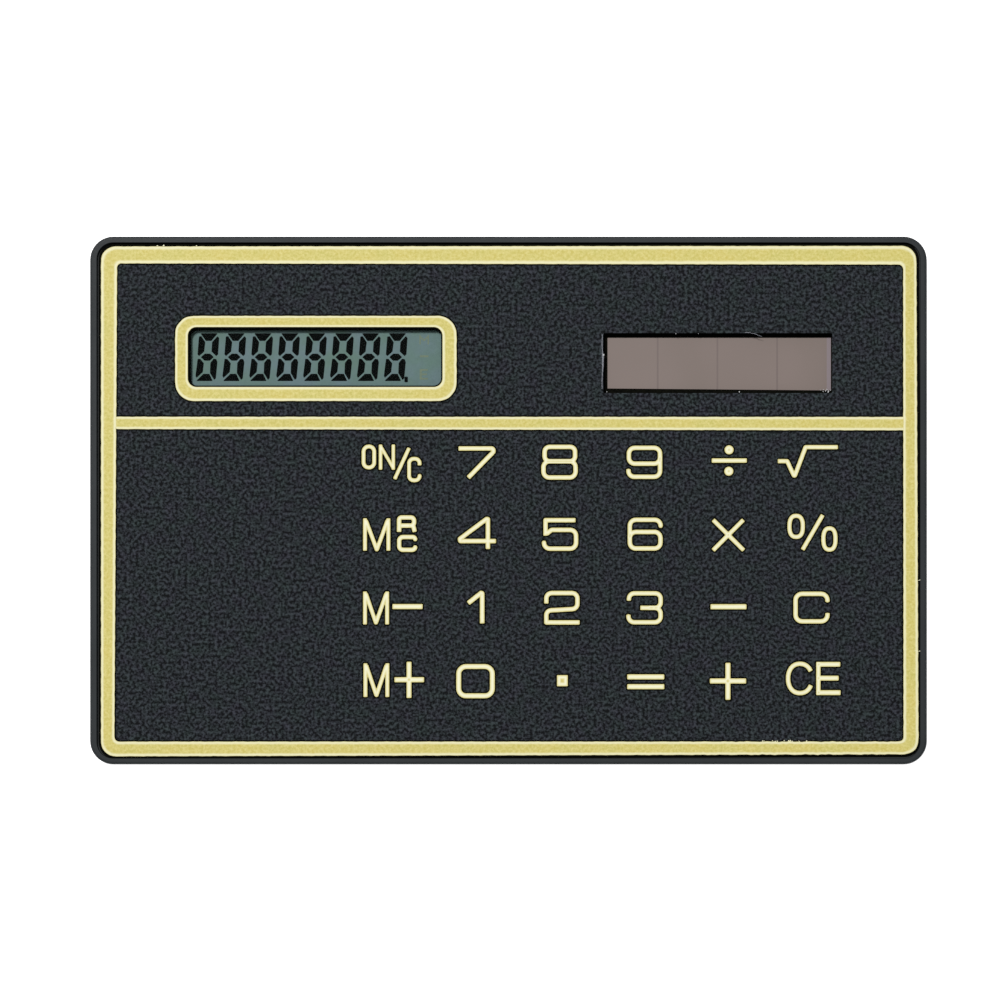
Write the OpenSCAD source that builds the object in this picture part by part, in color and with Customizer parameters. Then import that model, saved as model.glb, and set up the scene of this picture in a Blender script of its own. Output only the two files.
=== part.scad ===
// Card-sized solar pocket calculator, lying on its back with the keys facing up.
// X runs along the long side, Y up the face, Z out of the face. Millimetres.
// The origin is the middle of the back face.

/* [Case] */
// Width of the body, the long side of a bank card
body_w = 85.6; // [85.6:0.1:90]
// Height of the body, the short side of a bank card
body_h = 54; // [54:0.1:58]
// Thickness over the rim
body_t = 3.2; // [3.2:0.1:4.5]
// Radius of the four corners
corner_r = 2.4; // [2:0.1:3.4]
// Width of the rim that stands round the face film
rim_w = 0.7; // [0.6:0.05:0.9]
// Height of the rim above the face film
rim_step = 0.2; // [0.1:0.05:0.3]
// Rounding of the rim's outer edge
rim_round = 0.3; // [0.1:0.05:0.4]
// Rounding of the back's outer edge
back_round = 0.4; // [0.2:0.05:0.5]
// Height of the seam between the two shells
seam_z = 1.2; // [1:0.05:1.3]
// Thickness of the rear shell's floor
floor_t = 0.5; // [0.4:0.05:0.5]

/* [Face film] */
// Thickness of the printed polyester film
film_t = 0.2; // [0.15:0.05:0.25]
// Thickness of the adhesive under it
glue_t = 0.05; // [0.05:0.05:0.1]
// Gap between the film's edge and the rim
film_gap = 0.3; // [0.2:0.05:0.5]
// Thickness of the front shell's plate under the film
plate_t = 0.8; // [0.6:0.05:0.85]

/* [Keys] */
// Distance between key columns
key_pitch_x = 8.6; // [8.4:0.1:8.7]
// Distance between key rows
key_pitch_y = 7.44; // [7.3:0.02:7.5]
// Centre of the top left key along X
key_first_x = -12; // [-12.4:0.1:-11.6]
// Centre of the top left key along Y
key_first_y = 3.92; // [3.6:0.02:4]
// Width of a key's moving patch
key_w = 6.8; // [6:0.1:7]
// Height of a key's moving patch
key_h = 5.7; // [5:0.1:5.9]
// Gap round a key's patch
key_gap = 0.1; // [0.05:0.05:0.2]
// Key travel
key_travel = 0.3; // [0.1:0.05:0.3]

/* [Display] */
// Width of the display window in the film
view_w = 26.05; // [24:0.05:26.5]
// Height of the display window in the film
view_h = 6.13; // [5.5:0.01:6.5]
// Centre of the display window along X
view_x = -19.77; // [-20:0.01:-19.5]
// Centre of the display window along Y
view_y = 14.73; // [14.6:0.01:14.9]

/* [Solar cell] */
// Width of the solar window in the film
sun_w = 23.26; // [22:0.01:23.5]
// Height of the solar window in the film
sun_h = 6.08; // [5.5:0.01:6.5]
// Centre of the solar window along X
sun_x = 21.34; // [21.2:0.01:21.5]
// Centre of the solar window along Y
sun_y = 14.02; // [13.9:0.01:14.1]
// Turn of the solar cell in its place, in degrees
cell_turn = -0.5; // [-0.6:0.1:0]

/* [Hidden] */
$fn = 64;
KEY_ROWS = [
    ["key_on_clear", "key_7", "key_8", "key_9", "key_divide", "key_root"],
    ["key_memory_recall", "key_4", "key_5", "key_6", "key_times", "key_percent"],
    ["key_memory_minus", "key_1", "key_2", "key_3", "key_minus", "key_clear"],
    ["key_memory_plus", "key_0", "key_point", "key_equals", "key_plus", "key_clear_entry"],
];

// Colours
case_grey = "#35393b";
film_black = "#2c3033";
clear_sheet = "#c9d2cf";
glass_tint = "#9fb0a8";
lcd_green = "#657d79";
cell_brown = "#857873";
board_green = "#2f5d43";
rubber_grey = "#8d9290";
carbon_black = "#1c1d1e";
solder_grey = "#b9bcbe";

// Heights of the layers, from the back upwards
wall_t = 1;
skirt_t = 0.55;
board_lift = 0.15;
board_z = floor_t + board_lift;
board_t = 0.6;
board_top = board_z + board_t;
contact_t = 0.05;
film_top = body_t - rim_step;
film_z = film_top - film_t;
recess_z = film_z - glue_t;
plate_z = recess_z - plate_t;
glass_top = plate_z - 0.05;
seam_round = 0.08;

// Outlines of the face
recess_w = body_w - 2 * rim_w;
recess_h = body_h - 2 * rim_w + 0.16;
film_w = recess_w - 2 * film_gap;
film_h = recess_h - 2 * film_gap;
film_corner_r = 1.5;
glue_margin = 0.15;
view_corner_r = 0.8;
view_relief = 0.15;
lens_border = 1.2;
lens_t = 0.3;
sun_relief = 0.3;
key_corner_r = 1;

// Keys: the patch of film, the rubber plunger under it and its carbon pill
plunger_w = key_w - 1.2;
plunger_h = key_h - 1.2;
pill_w = plunger_w - 1;
pill_h = plunger_h - 0.9;
pill_t = 0.2;
rest_clearance = 0.02;
pill_z = board_top + contact_t + key_travel + rest_clearance;
mat_hole_w = plunger_w + 0.8;
mat_hole_h = plunger_h + 0.8;
mat_border = 0.9;
cols = len(KEY_ROWS[0]);
rows = len(KEY_ROWS);
function key_x(col) = key_first_x + col * key_pitch_x;
function key_y(row) = key_first_y - row * key_pitch_y;

// Display glass
lcd_w = 30;
lcd_h = 9;
ledge_h = 1.6;
polariser_t = 0.15;
glass_t = 0.4;
polariser_margin = 0.4;
lcd_x = view_x;
lcd_y = 15.1;
lcd_rear_h = lcd_h + ledge_h;
lcd_rear_y = lcd_y - ledge_h / 2;
front_polariser_z = glass_top - polariser_t;
front_glass_z = front_polariser_z - glass_t;
rear_glass_z = front_glass_z - glass_t;
reflector_z = rear_glass_z - polariser_t;
ribbon_w = 15;
ribbon_x = -26;
ribbon_t = 0.1;
ribbon_top_y = lcd_y - lcd_h / 2 - 0.2;
ribbon_low_y = 6.4;

// Solar cell
cell_w = 25.4;
cell_h = 6;
cell_x = 21.3;
cell_y = 14.4;
sun_glass_t = 0.7;
cell_film_t = 0.05;
cell_count = 4;
cell_pitch = 6.1;
cell_gap = 0.2;
sun_glass_z = glass_top - sun_glass_t;
sun_film_z = sun_glass_z - cell_film_t;
lead_r = 0.2;
lead_z = sun_film_z - lead_r - 0.05;
lead_on_board_z = board_top + lead_r + 0.03;

// Board
board_w = 82;
board_low_y = -25.2;
board_high_y = 8.4;
board_corner_r = 1;

// Six pins on the front shell go into sockets on the rear shell
PIN_PLACES = [[-38.2, 22.7], [0.5, 22.7], [38.2, 22.7], [-38.2, -22.5], [-21, -22.5], [38.2, -22.5]];
pin_r = 0.7;
pin_clearance = 0.05;
socket_r = 1.5;
socket_room = 0.3;
pin_z = floor_t + 0.3;
socket_top = plate_z - 0.05;

// The two wires from the solar cell, along the channel above the board
LEAD_POSITIVE = [
    [9.2, 13.6, lead_z], [9.2, 12, lead_z], [9.3, 11, lead_z], [9.7, 10.3, lead_z],
    [10.5, 9.9, lead_z], [12, 9.8, lead_z], [22, 9.8, lead_z], [34, 9.9, lead_z], [35.6, 9.8, lead_z + 0.1],
    [36.4, 9.3, 1.2], [36.7, 8.7, 1.45], [36.8, 8, lead_on_board_z], [36.8, 6.8, lead_on_board_z],
];
LEAD_NEGATIVE = [
    [33.2, 13.6, lead_z], [34.4, 13.7, lead_z], [35.8, 13.6, lead_z], [37.4, 13, lead_z],
    [38.4, 11.9, lead_z], [38.8, 10.6, lead_z + 0.1], [38.9, 9.4, 1.2],
    [38.9, 8.7, 1.45], [38.9, 8, lead_on_board_z], [38.9, 6.8, lead_on_board_z],
];

// A rectangle with true round corners, about its centre
module rounded(w, h, r) {
    square([w - 2 * r, h], center = true);
    square([w, h - 2 * r], center = true);
    for (sx = [-1, 1], sy = [-1, 1])
        translate([sx * (w / 2 - r), sy * (h / 2 - r)])
            circle(r);
}

// A flat sheet with round corners from height z
module sheet(w, h, r, z, t) {
    translate([0, 0, z])
        linear_extrude(t)
            rounded(w, h, r);
}

// A flat block with square corners from height z
module block(w, h, z, t) {
    translate([-w / 2, -h / 2, z])
        cube([w, h, t]);
}

// Half of a shell's cross-section, from its middle to its rounded outer edge
module edge_half(len, z0, z1, low_round, high_round) {
    translate([0, z0])
        square([len - low_round, z1 - z0 - high_round]);
    translate([0, z0 + low_round])
        square([len - high_round, z1 - z0 - low_round]);
    translate([0, z0 + low_round])
        square([len, z1 - z0 - low_round - high_round]);
    translate([len - low_round, z0 + low_round])
        circle(low_round);
    translate([len - high_round, z1 - high_round])
        circle(high_round);
}

// The whole cross-section
module edge_whole(len, z0, z1, low_round, high_round) {
    edge_half(len / 2, z0, z1, low_round, high_round);
    mirror([1, 0])
        edge_half(len / 2, z0, z1, low_round, high_round);
}

// The body's slab from z0 to z1 with rounded long edges and corners
module soft_slab(z0, z1, low_round, high_round) {
    rotate([90, 0, 0])
        linear_extrude(body_h - 2 * corner_r, center = true)
            edge_whole(body_w, z0, z1, low_round, high_round);
    rotate([90, 0, 90])
        linear_extrude(body_w - 2 * corner_r, center = true)
            edge_whole(body_h, z0, z1, low_round, high_round);
    for (turn = [0 : 3]) {
        sx = (turn == 0 || turn == 3) ? 1 : -1;
        sy = (turn < 2) ? 1 : -1;
        translate([sx * (body_w / 2 - corner_r), sy * (body_h / 2 - corner_r)])
            rotate(90 * turn)
                rotate_extrude(angle = 90)
                    edge_half(corner_r, z0, z1, low_round, high_round);
    }
}

// Puts its children at every key
module at_keys() {
    for (row = [0 : rows - 1], col = [0 : cols - 1])
        translate([key_x(col), key_y(row)])
            children();
}

// The hole that a key's patch moves in, cut through every layer above the mat
module key_holes(z, t) {
    at_keys()
        sheet(key_w + 2 * key_gap, key_h + 2 * key_gap, key_corner_r + key_gap, z, t);
}

module at_display() {
    translate([view_x, view_y])
        children();
}

module at_solar() {
    translate([sun_x, sun_y])
        children();
}

module at_pins() {
    for (place = PIN_PLACES)
        translate(place)
            children();
}

// ---------- Shells ----------

// Upper shell: rim, recess for the film, two windows, 24 key holes and six pins
module front_case() {
    color(case_grey) {
        difference() {
            soft_slab(seam_z, body_t, seam_round, rim_round);
            sheet(recess_w, recess_h, film_corner_r + 0.2, recess_z, body_t);
            sheet(body_w - 2 * skirt_t, body_h - 2 * skirt_t, corner_r - skirt_t, 0, plate_z);
            at_display() {
                sheet(view_w + 2 * view_relief, view_h + 2 * view_relief, view_corner_r, 0, body_t);
                sheet(view_w + 2 * lens_border, view_h + 2 * lens_border, view_corner_r + 0.6,
                      recess_z - lens_t, body_t);
            }
            at_solar()
                block(sun_w + 2 * sun_relief, sun_h + 2 * sun_relief, 0, body_t);
            key_holes(0, body_t);
        }
        at_pins()
            translate([0, 0, pin_z])
                cylinder(r = pin_r, h = plate_z + 0.1 - pin_z);
    }
}

// Lower shell: floor, wall with a tongue, ribs, fences for the glass and six sockets
module rear_case() {
    color(case_grey)
        difference() {
            union() {
                difference() {
                    soft_slab(0, seam_z, back_round, seam_round);
                    sheet(body_w - 2 * wall_t, body_h - 2 * wall_t, corner_r - wall_t, floor_t, body_t);
                }
                case_tongue();
                board_ribs();
                glass_fences();
                at_pins()
                    translate([0, 0, floor_t - 0.1])
                        cylinder(r = socket_r, h = socket_top - floor_t + 0.1);
            }
            at_pins()
                translate([0, 0, floor_t])
                    cylinder(r = pin_r + pin_clearance, h = body_t);
        }
}

// The lip that the front shell's skirt closes over
module case_tongue() {
    tongue_inset = skirt_t + 0.05;
    translate([0, 0, floor_t - 0.1])
        linear_extrude(plate_z - floor_t - 0.1)
            difference() {
                rounded(body_w - 2 * tongue_inset, body_h - 2 * tongue_inset, corner_r - tongue_inset);
                rounded(body_w - 2 * wall_t, body_h - 2 * wall_t, corner_r - wall_t);
            }
}

// Low ribs that carry the board
module board_ribs() {
    for (y = [board_low_y + 5.5, -8, board_high_y - 1.2])
        translate([0, y])
            block(board_w - 8, 0.8, floor_t - 0.1, board_lift + 0.1);
}

// Fences at the ends of the display glass and the solar glass
module glass_fences() {
    fence_t = 0.5;
    fence_gap = 0.3;
    fence_h = 1;
    for (side = [-1, 1]) {
        translate([lcd_x + side * (lcd_w / 2 + fence_gap + fence_t / 2), lcd_y])
            block(fence_t, lcd_h - 3, floor_t - 0.1, fence_h + 0.1);
        translate([cell_x + side * (cell_w / 2 + fence_gap + fence_t / 2), cell_y + 1.4])
            block(fence_t, 2.4, floor_t - 0.1, fence_h + 0.1);
    }
}

// ---------- Face ----------

// Printed film with its two windows and the cut round each key's patch
module face_film() {
    color(film_black)
        difference() {
            sheet(film_w, film_h, film_corner_r, film_z, film_t);
            at_display()
                sheet(view_w, view_h, view_corner_r, 0, body_t);
            at_solar()
                block(sun_w, sun_h, 0, body_t);
            key_holes(0, body_t);
        }
}

// Adhesive sheet, a little inside the film's edge
module film_adhesive() {
    color(clear_sheet)
        difference() {
            sheet(film_w - 2 * glue_margin, film_h - 2 * glue_margin, film_corner_r - glue_margin,
                  recess_z, glue_t);
            at_display()
                sheet(view_w + 2 * glue_margin, view_h + 2 * glue_margin, view_corner_r, 0, body_t);
            at_solar()
                block(sun_w + 2 * glue_margin, sun_h + 2 * glue_margin, 0, body_t);
            key_holes(0, body_t);
        }
}

// Clear sheet let into a step round the display opening
module display_window() {
    lens_gap = 0.1;
    color(clear_sheet)
        at_display()
            sheet(view_w + 2 * (lens_border - lens_gap), view_h + 2 * (lens_border - lens_gap),
                  view_corner_r + 0.5, recess_z - lens_t, lens_t);
}

// ---------- Display ----------

module lcd_front_polariser() {
    color(lcd_green)
        translate([lcd_x, lcd_y])
            block(lcd_w - 2 * polariser_margin, lcd_h - 2 * polariser_margin,
                  front_polariser_z, polariser_t);
}

module lcd_front_glass() {
    color(glass_tint)
        translate([lcd_x, lcd_y])
            block(lcd_w, lcd_h, front_glass_z, glass_t);
}

// The rear glass is longer by the ledge that carries the contacts
module lcd_rear_glass() {
    color(glass_tint)
        translate([lcd_x, lcd_rear_y])
            block(lcd_w, lcd_rear_h, rear_glass_z, glass_t);
}

// Rear polariser with its silver backing
module lcd_reflector() {
    color(solder_grey)
        translate([lcd_x, lcd_y])
            block(lcd_w - 2 * polariser_margin, lcd_h - 2 * polariser_margin,
                  reflector_z, polariser_t);
}

// Foam tape between the display and the floor
module lcd_cushion() {
    color(carbon_black)
        translate([lcd_x, lcd_y])
            block(lcd_w - 3, lcd_h - 2, floor_t, reflector_z - floor_t);
}

// Heat-sealed ribbon from the display's ledge down to the board
module lcd_ribbon() {
    step_high = lcd_rear_y - lcd_rear_h / 2 - 0.05;
    step_low = step_high - 0.95;
    color("#3a2f24")
        translate([ribbon_x - ribbon_w / 2, 0, 0])
            rotate([90, 0, 90])
                linear_extrude(ribbon_w)
                    polygon([
                        [ribbon_top_y, front_glass_z], [step_high, front_glass_z],
                        [step_low, board_top], [ribbon_low_y, board_top],
                        [ribbon_low_y, board_top + ribbon_t], [step_low, board_top + ribbon_t],
                        [step_high, front_glass_z + ribbon_t], [ribbon_top_y, front_glass_z + ribbon_t],
                    ]);
}

// ---------- Solar cell ----------

module at_cell() {
    translate([cell_x, cell_y])
        rotate(cell_turn)
            children();
}

module solar_glass() {
    color(cell_brown)
        at_cell()
            block(cell_w, cell_h, sun_glass_z, sun_glass_t);
}

// Four strips of silicon film in series on the back of the glass
module solar_cells() {
    color("#4a3430")
        at_cell()
            for (i = [0 : cell_count - 1])
                translate([(i - (cell_count - 1) / 2) * cell_pitch, 0])
                    block(cell_pitch - cell_gap, cell_h - 0.4, sun_film_z, cell_film_t);
}

// Foam tape between the cell and the floor
module solar_tape() {
    color(carbon_black)
        at_cell()
            block(cell_w - 7, cell_h - 1.2, floor_t, sun_film_z - floor_t);
}

// A round wire swept along its own points, with eight sides
module wire(route, r) {
    sides = 8;
    n = len(route);
    function ahead(i) = route[min(i + 1, n - 1)] - route[max(i - 1, 0)];
    function unit(v) = v / norm(v);
    function across(i) = unit(cross(unit(ahead(i)), [0.1, 0.2, 1]));
    function up(i) = cross(across(i), unit(ahead(i)));
    points = [
        for (i = [0 : n - 1], k = [0 : sides - 1])
            let (a = 360 * k / sides)
                route[i] + r * (cos(a) * across(i) + sin(a) * up(i))
    ];
    walls = [
        for (i = [0 : n - 2], k = [0 : sides - 1])
            let (a = i * sides + k, b = i * sides + (k + 1) % sides)
                [a, b, b + sides, a + sides]
    ];
    first_end = [for (k = [sides - 1 : -1 : 0]) k];
    last_end = [for (k = [0 : sides - 1]) (n - 1) * sides + k];
    polyhedron(points, concat(walls, [first_end, last_end]));
}

module solar_lead_positive() {
    color("#a8322a")
        wire(LEAD_POSITIVE, lead_r);
}

module solar_lead_negative() {
    color("#23262b")
        wire(LEAD_NEGATIVE, lead_r);
}

// A low round drop of solder standing on height z
module solder_drop(place, z) {
    drop_r = 0.75;
    sink = 0.15;
    translate([place[0], place[1], z])
        intersection() {
            translate([0, 0, -sink])
                sphere(drop_r);
            block(2, 2, 0, drop_r);
        }
}

// Where the wires meet the board
module solder_joints() {
    color(solder_grey)
        for (route = [LEAD_POSITIVE, LEAD_NEGATIVE])
            solder_drop(route[len(route) - 1], board_top);
}

// ---------- Keyboard and circuit ----------

// Silicone sheet with a cell round each key
module key_mat() {
    mat_w = (cols - 1) * key_pitch_x + mat_hole_w + 2 * mat_border;
    mat_h = (rows - 1) * key_pitch_y + mat_hole_h + 2 * mat_border;
    mat_x = (key_x(0) + key_x(cols - 1)) / 2;
    mat_y = (key_y(0) + key_y(rows - 1)) / 2;
    color(rubber_grey)
        difference() {
            translate([mat_x, mat_y])
                sheet(mat_w, mat_h, 1, board_top, plate_z - 0.05 - board_top);
            at_keys()
                sheet(mat_hole_w, mat_hole_h, key_corner_r, 0, body_t);
        }
}

// Board with clearance holes for the sockets
module main_board() {
    color(board_green)
        difference() {
            translate([0, (board_low_y + board_high_y) / 2])
                sheet(board_w, board_high_y - board_low_y, board_corner_r, board_z, board_t);
            for (place = PIN_PLACES)
                if (place[1] < 0)
                    translate([place[0], place[1], 0])
                        cylinder(r = socket_r + socket_room, h = body_t);
        }
}

// One printed carbon comb: a spine with three fingers
module contact_comb() {
    spine = 0.45;
    finger = 0.4;
    comb_gap = 0.3;
    step = (pill_h - finger) / 2.5;
    translate([-pill_w / 2, -pill_h / 2]) {
        square([spine, 2 * step + finger]);
        for (i = [0 : 2])
            translate([0, i * step])
                square([pill_w - spine - comb_gap, finger]);
    }
}

// Two combs under each key, their fingers side by side
module key_contacts() {
    color(carbon_black)
        at_keys()
            translate([0, 0, board_top])
                linear_extrude(contact_t)
                    for (turn = [0, 180])
                        rotate(turn)
                            contact_comb();
}

// Drop of black resin over the bare chip
module chip_cover() {
    drop_r = 4;
    drop_h = 0.6;
    ball_r = (drop_r * drop_r + drop_h * drop_h) / (2 * drop_h);
    color(carbon_black)
        translate([-29, -8, board_top])
            intersection() {
                translate([0, 0, drop_h - ball_r])
                    sphere(ball_r, $fn = 128);
                cylinder(r = drop_r, h = drop_h + 0.1);
            }
}

// A small surface part with two plated ends
module chip_part(w, h, t) {
    end_w = w * 0.18;
    plate = 0.05;
    translate([0, 0, board_top]) {
        block(w, h, plate, t - 2 * plate);
        for (side = [-1, 1])
            translate([side * (w - end_w) / 2, 0])
                block(end_w, h + 2 * plate, 0, t);
    }
}

module buffer_capacitor() {
    color("#a88e62")
        translate([-21, 1.5])
            chip_part(3.2, 1.6, 0.6);
}

module clamp_diode() {
    color(carbon_black)
        translate([-21, -2])
            chip_part(2.5, 1.3, 0.6);
}

module chip_resistors() {
    color("#24272a")
        for (y = [-6, -8.5])
            translate([-21, y])
                chip_part(1.6, 0.8, 0.45);
}

// One key: film patch, rubber plunger and carbon pill
module key(col, row) {
    color(film_black)
        translate([key_x(col), key_y(row)]) {
            sheet(key_w, key_h, key_corner_r, film_z, film_t);
            sheet(plunger_w, plunger_h, key_corner_r, pill_z + pill_t, film_z - pill_z - pill_t);
            sheet(pill_w, pill_h, key_corner_r, pill_z, pill_t);
        }
}

front_case();
rear_case();
face_film();
film_adhesive();
display_window();
lcd_front_polariser();
lcd_front_glass();
lcd_rear_glass();
lcd_reflector();
lcd_cushion();
lcd_ribbon();
solar_glass();
solar_cells();
solar_tape();
solar_lead_positive();
solar_lead_negative();
solder_joints();
key_mat();
main_board();
key_contacts();
chip_cover();
buffer_capacitor();
clamp_diode();
chip_resistors();
for (row = [0 : rows - 1], col = [0 : cols - 1])
    key(col, row);
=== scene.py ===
# %% [markdown]
# # A card-sized solar calculator
# The real object is a thin black case with a printed plastic film let into its face. The film
# carries the gold border and the key legends, and it flexes over a rubber plunger at each key.
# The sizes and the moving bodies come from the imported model, which is loaded first and never
# changed. The new pieces are put around it: film, keys, gold print, display segments.

# %% Load the frame
import math

import bpy
import numpy as np
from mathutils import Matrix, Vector
from mathutils.geometry import delaunay_2d_cdt


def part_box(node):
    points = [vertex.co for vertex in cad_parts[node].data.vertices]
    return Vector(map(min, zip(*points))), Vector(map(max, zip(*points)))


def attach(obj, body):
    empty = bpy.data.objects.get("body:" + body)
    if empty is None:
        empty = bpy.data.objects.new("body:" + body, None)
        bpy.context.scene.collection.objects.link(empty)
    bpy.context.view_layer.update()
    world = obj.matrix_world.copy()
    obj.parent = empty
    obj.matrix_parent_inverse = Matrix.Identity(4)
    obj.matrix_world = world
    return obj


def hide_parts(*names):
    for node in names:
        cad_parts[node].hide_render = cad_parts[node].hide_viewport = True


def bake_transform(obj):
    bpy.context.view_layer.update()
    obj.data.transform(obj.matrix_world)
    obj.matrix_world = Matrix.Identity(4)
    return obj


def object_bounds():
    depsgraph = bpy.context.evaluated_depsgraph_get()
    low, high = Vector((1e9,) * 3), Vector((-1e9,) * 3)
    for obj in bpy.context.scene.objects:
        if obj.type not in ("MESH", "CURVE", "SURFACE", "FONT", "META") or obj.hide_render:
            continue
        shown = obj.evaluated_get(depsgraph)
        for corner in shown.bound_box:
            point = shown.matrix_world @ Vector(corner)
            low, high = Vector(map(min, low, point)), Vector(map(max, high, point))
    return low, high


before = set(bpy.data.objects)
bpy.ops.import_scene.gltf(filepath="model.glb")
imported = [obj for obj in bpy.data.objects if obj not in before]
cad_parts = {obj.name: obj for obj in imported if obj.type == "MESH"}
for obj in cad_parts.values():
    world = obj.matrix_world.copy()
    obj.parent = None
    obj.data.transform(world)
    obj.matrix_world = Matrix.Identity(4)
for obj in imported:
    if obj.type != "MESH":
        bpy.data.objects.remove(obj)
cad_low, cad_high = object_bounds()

MM = 0.001
SEED = 7

# %% [markdown]
# ## Camera
# A flat object is best seen square from above, through a long lens, so that all four sides of
# its rim look equally wide. The distance follows from the width that the picture has to show:
# distance = width x focal length / sensor width.

# %% Camera
LENS_MM = 100
SENSOR_MM = 36
VIEW_WIDTH_MM = 102.7
VIEW_CENTRE_MM = (-0.61, -0.21)


def make_camera():
    """A straight-down camera whose picture is VIEW_WIDTH_MM wide at the height of the rim."""
    lens = bpy.data.cameras.new("camera")
    lens.lens = LENS_MM
    lens.sensor_width = SENSOR_MM
    lens.clip_start = 0.01
    lens.clip_end = 10
    camera = bpy.data.objects.new("camera", lens)
    bpy.context.scene.collection.objects.link(camera)
    distance = VIEW_WIDTH_MM * LENS_MM / SENSOR_MM
    camera.location = (VIEW_CENTRE_MM[0] * MM, VIEW_CENTRE_MM[1] * MM, cad_high.z + distance * MM)
    bpy.context.scene.camera = camera
    return distance


print("camera distance, mm:", round(make_camera(), 1))

# %% [markdown]
# ## Materials from nodes
# Every finish below is made of shader nodes that read Object coordinates, in metres, so that a
# grain of 0.25 mm is 0.25 mm on every piece. One function adds a node and hands on its result,
# and another turns the usual sRGB hex colours to the linear values that shaders work with.

# %% Colour and node helpers
MIX_FACTOR, MIX_A, MIX_B, MIX_OUT = 0, 6, 7, 2


def linear(hex_colour):
    """sRGB hex to linear: c / 12.92 below 0.04045, and ((c + 0.055) / 1.055) ** 2.4 above."""
    c = np.array([int(hex_colour[i : i + 2], 16) for i in (1, 3, 5)]) / 255
    value = np.where(c <= 0.04045, c / 12.92, ((c + 0.055) / 1.055) ** 2.4)
    return (*value.tolist(), 1.0)


def per_mm(size_mm):
    """The scale of a pattern whose features are size_mm across: one over the size in metres."""
    return 1 / (size_mm * MM)


def add_node(material, kind, sockets=None, out=0, **settings):
    """Adds one node and gives back one of its outputs. A socket gets a plain value, or a link if
    it is given another node's output."""
    made = material.node_tree.nodes.new("ShaderNode" + kind)
    for name, value in settings.items():
        setattr(made, name, value)
    for name, value in (sockets or {}).items():
        if isinstance(value, bpy.types.NodeSocket):
            material.node_tree.links.new(value, made.inputs[name])
        else:
            made.inputs[name].default_value = value
    return made.outputs[out] if made.outputs else None


def start_material(name):
    """An empty node material, and the Object coordinates that its pattern reads."""
    material = bpy.data.materials.new(name)
    material.use_nodes = True
    material.node_tree.nodes.clear()
    return material, add_node(material, "TexCoord", out="Object")


def tint(material, factor, dark, light, low=0.3, high=0.7):
    """A colour that goes from dark to light as the factor goes from low to high. Each of the two
    is a hex colour or the output of another node."""
    dark, light = (linear(c) if isinstance(c, str) else c for c in (dark, light))
    share = add_node(material, "MapRange", {"Value": factor, "From Min": low, "From Max": high})
    sockets = {MIX_FACTOR: share, MIX_A: dark, MIX_B: light}
    return add_node(material, "Mix", sockets, MIX_OUT, data_type="RGBA")


def finish_material(material, sockets, height=None, depth_mm=None, strength=1.0):
    """Adds the Principled shader with these sockets and links it to the output. Where there is a
    height pattern, its bump's full height is depth_mm."""
    if height is not None:
        bump = {"Height": height, "Distance": depth_mm * MM, "Strength": strength}
        sockets["Normal"] = add_node(material, "Bump", bump)
    surface = add_node(material, "BsdfPrincipled", sockets)
    add_node(material, "OutputMaterial", {"Surface": surface})
    return material


def grained(name, dark_hex, light_hex, size_mm, depth_mm=None, detail=2.0, **sockets):
    """A plain finish: clouds of size_mm between two close colours, and a bump of them if it has a
    depth. The keywords are shader sockets, with _ for a space."""
    material, place = start_material(name)
    cloud = add_node(material, "TexNoise", {"Vector": place, "Scale": per_mm(size_mm), "Detail": detail})
    sockets = {socket.replace("_", " "): value for socket, value in sockets.items()}
    sockets["Base Color"] = tint(material, cloud, dark_hex, light_hex)
    return finish_material(material, sockets, cloud if depth_mm else None, depth_mm)


def tell(*finishes):
    """Prints the name of each finish and how many nodes it took."""
    for finish in finishes:
        print("finish:", finish.name, "nodes:", len(finish.node_tree.nodes))


print("black, grey and white:", [round(linear(c)[0], 3) for c in ("#000000", "#808080", "#ffffff")])

# %% [markdown]
# ## The case's plastic
# The two shells are moulded ABS from a tool with a fine spark-eroded texture. That gives the eye
# a satin charcoal with no clear reflections, a little lighter than the printed film.

# %% ABS
def abs_satin():
    """Injection-moulded ABS: satin, with a fine spark texture of about 0.12 mm."""
    material, place = start_material("abs_satin_charcoal")
    spark = add_node(material, "TexNoise", {"Vector": place, "Scale": per_mm(0.12)})
    cloud = add_node(material, "TexNoise", {"Vector": place, "Scale": per_mm(6), "Detail": 1})
    colour = tint(material, cloud, "#292d2f", "#2f3335")
    rough = add_node(material, "MapRange", {"Value": spark, "To Min": 0.45, "To Max": 0.65})
    sockets = {"Base Color": colour, "Roughness": rough, "Specular IOR Level": 0.22}
    return finish_material(material, sockets, spark, 0.006)


abs_plastic = abs_satin()
tell(abs_plastic)

# %% [markdown]
# ## The face film
# The face is a 0.2 mm polyester film with an embossed grain, printed black from behind. Its
# grain catches light as small soft specks 0.2 to 0.3 mm across. The key patches are separate
# pieces of the same film, so the pattern is flattened in Z to run across them unbroken.

# %% Film
def film_black():
    """Embossed polyester film over black print: specks of grain on near-black, here a little
    bluer and there a little greener over 1.6 mm."""
    material, place = start_material("polyester_film_black")
    flat = add_node(material, "Mapping", {"Vector": place, "Scale": (1, 1, 0)})
    specks = {"Vector": flat, "Scale": per_mm(0.31), "Detail": 1.6, "Roughness": 0.6}
    speck = add_node(material, "TexNoise", specks)
    cloud = add_node(material, "TexNoise", {"Vector": flat, "Scale": per_mm(1.6)})
    dark = tint(material, cloud, "#111015", "#0f1313")
    light = tint(material, cloud, "#41434c", "#3d4748")
    colour = tint(material, speck, dark, light, 0.4, 0.68)
    sockets = {"Base Color": colour, "Roughness": 0.75, "IOR": 1.5, "Specular IOR Level": 0.08}
    return finish_material(material, sockets, speck, 0.012, 0.5)


film = film_black()
tell(film)

# %% [markdown]
# ## Gold print
# The gold is a screen-printed ink with fine metal flake in it. It isn't a mirror: it looks like
# pale satin paint with a slightly uneven tone, greener and redder in turn, and with a fine
# tooth where the mesh of the screen lifted off.

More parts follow.
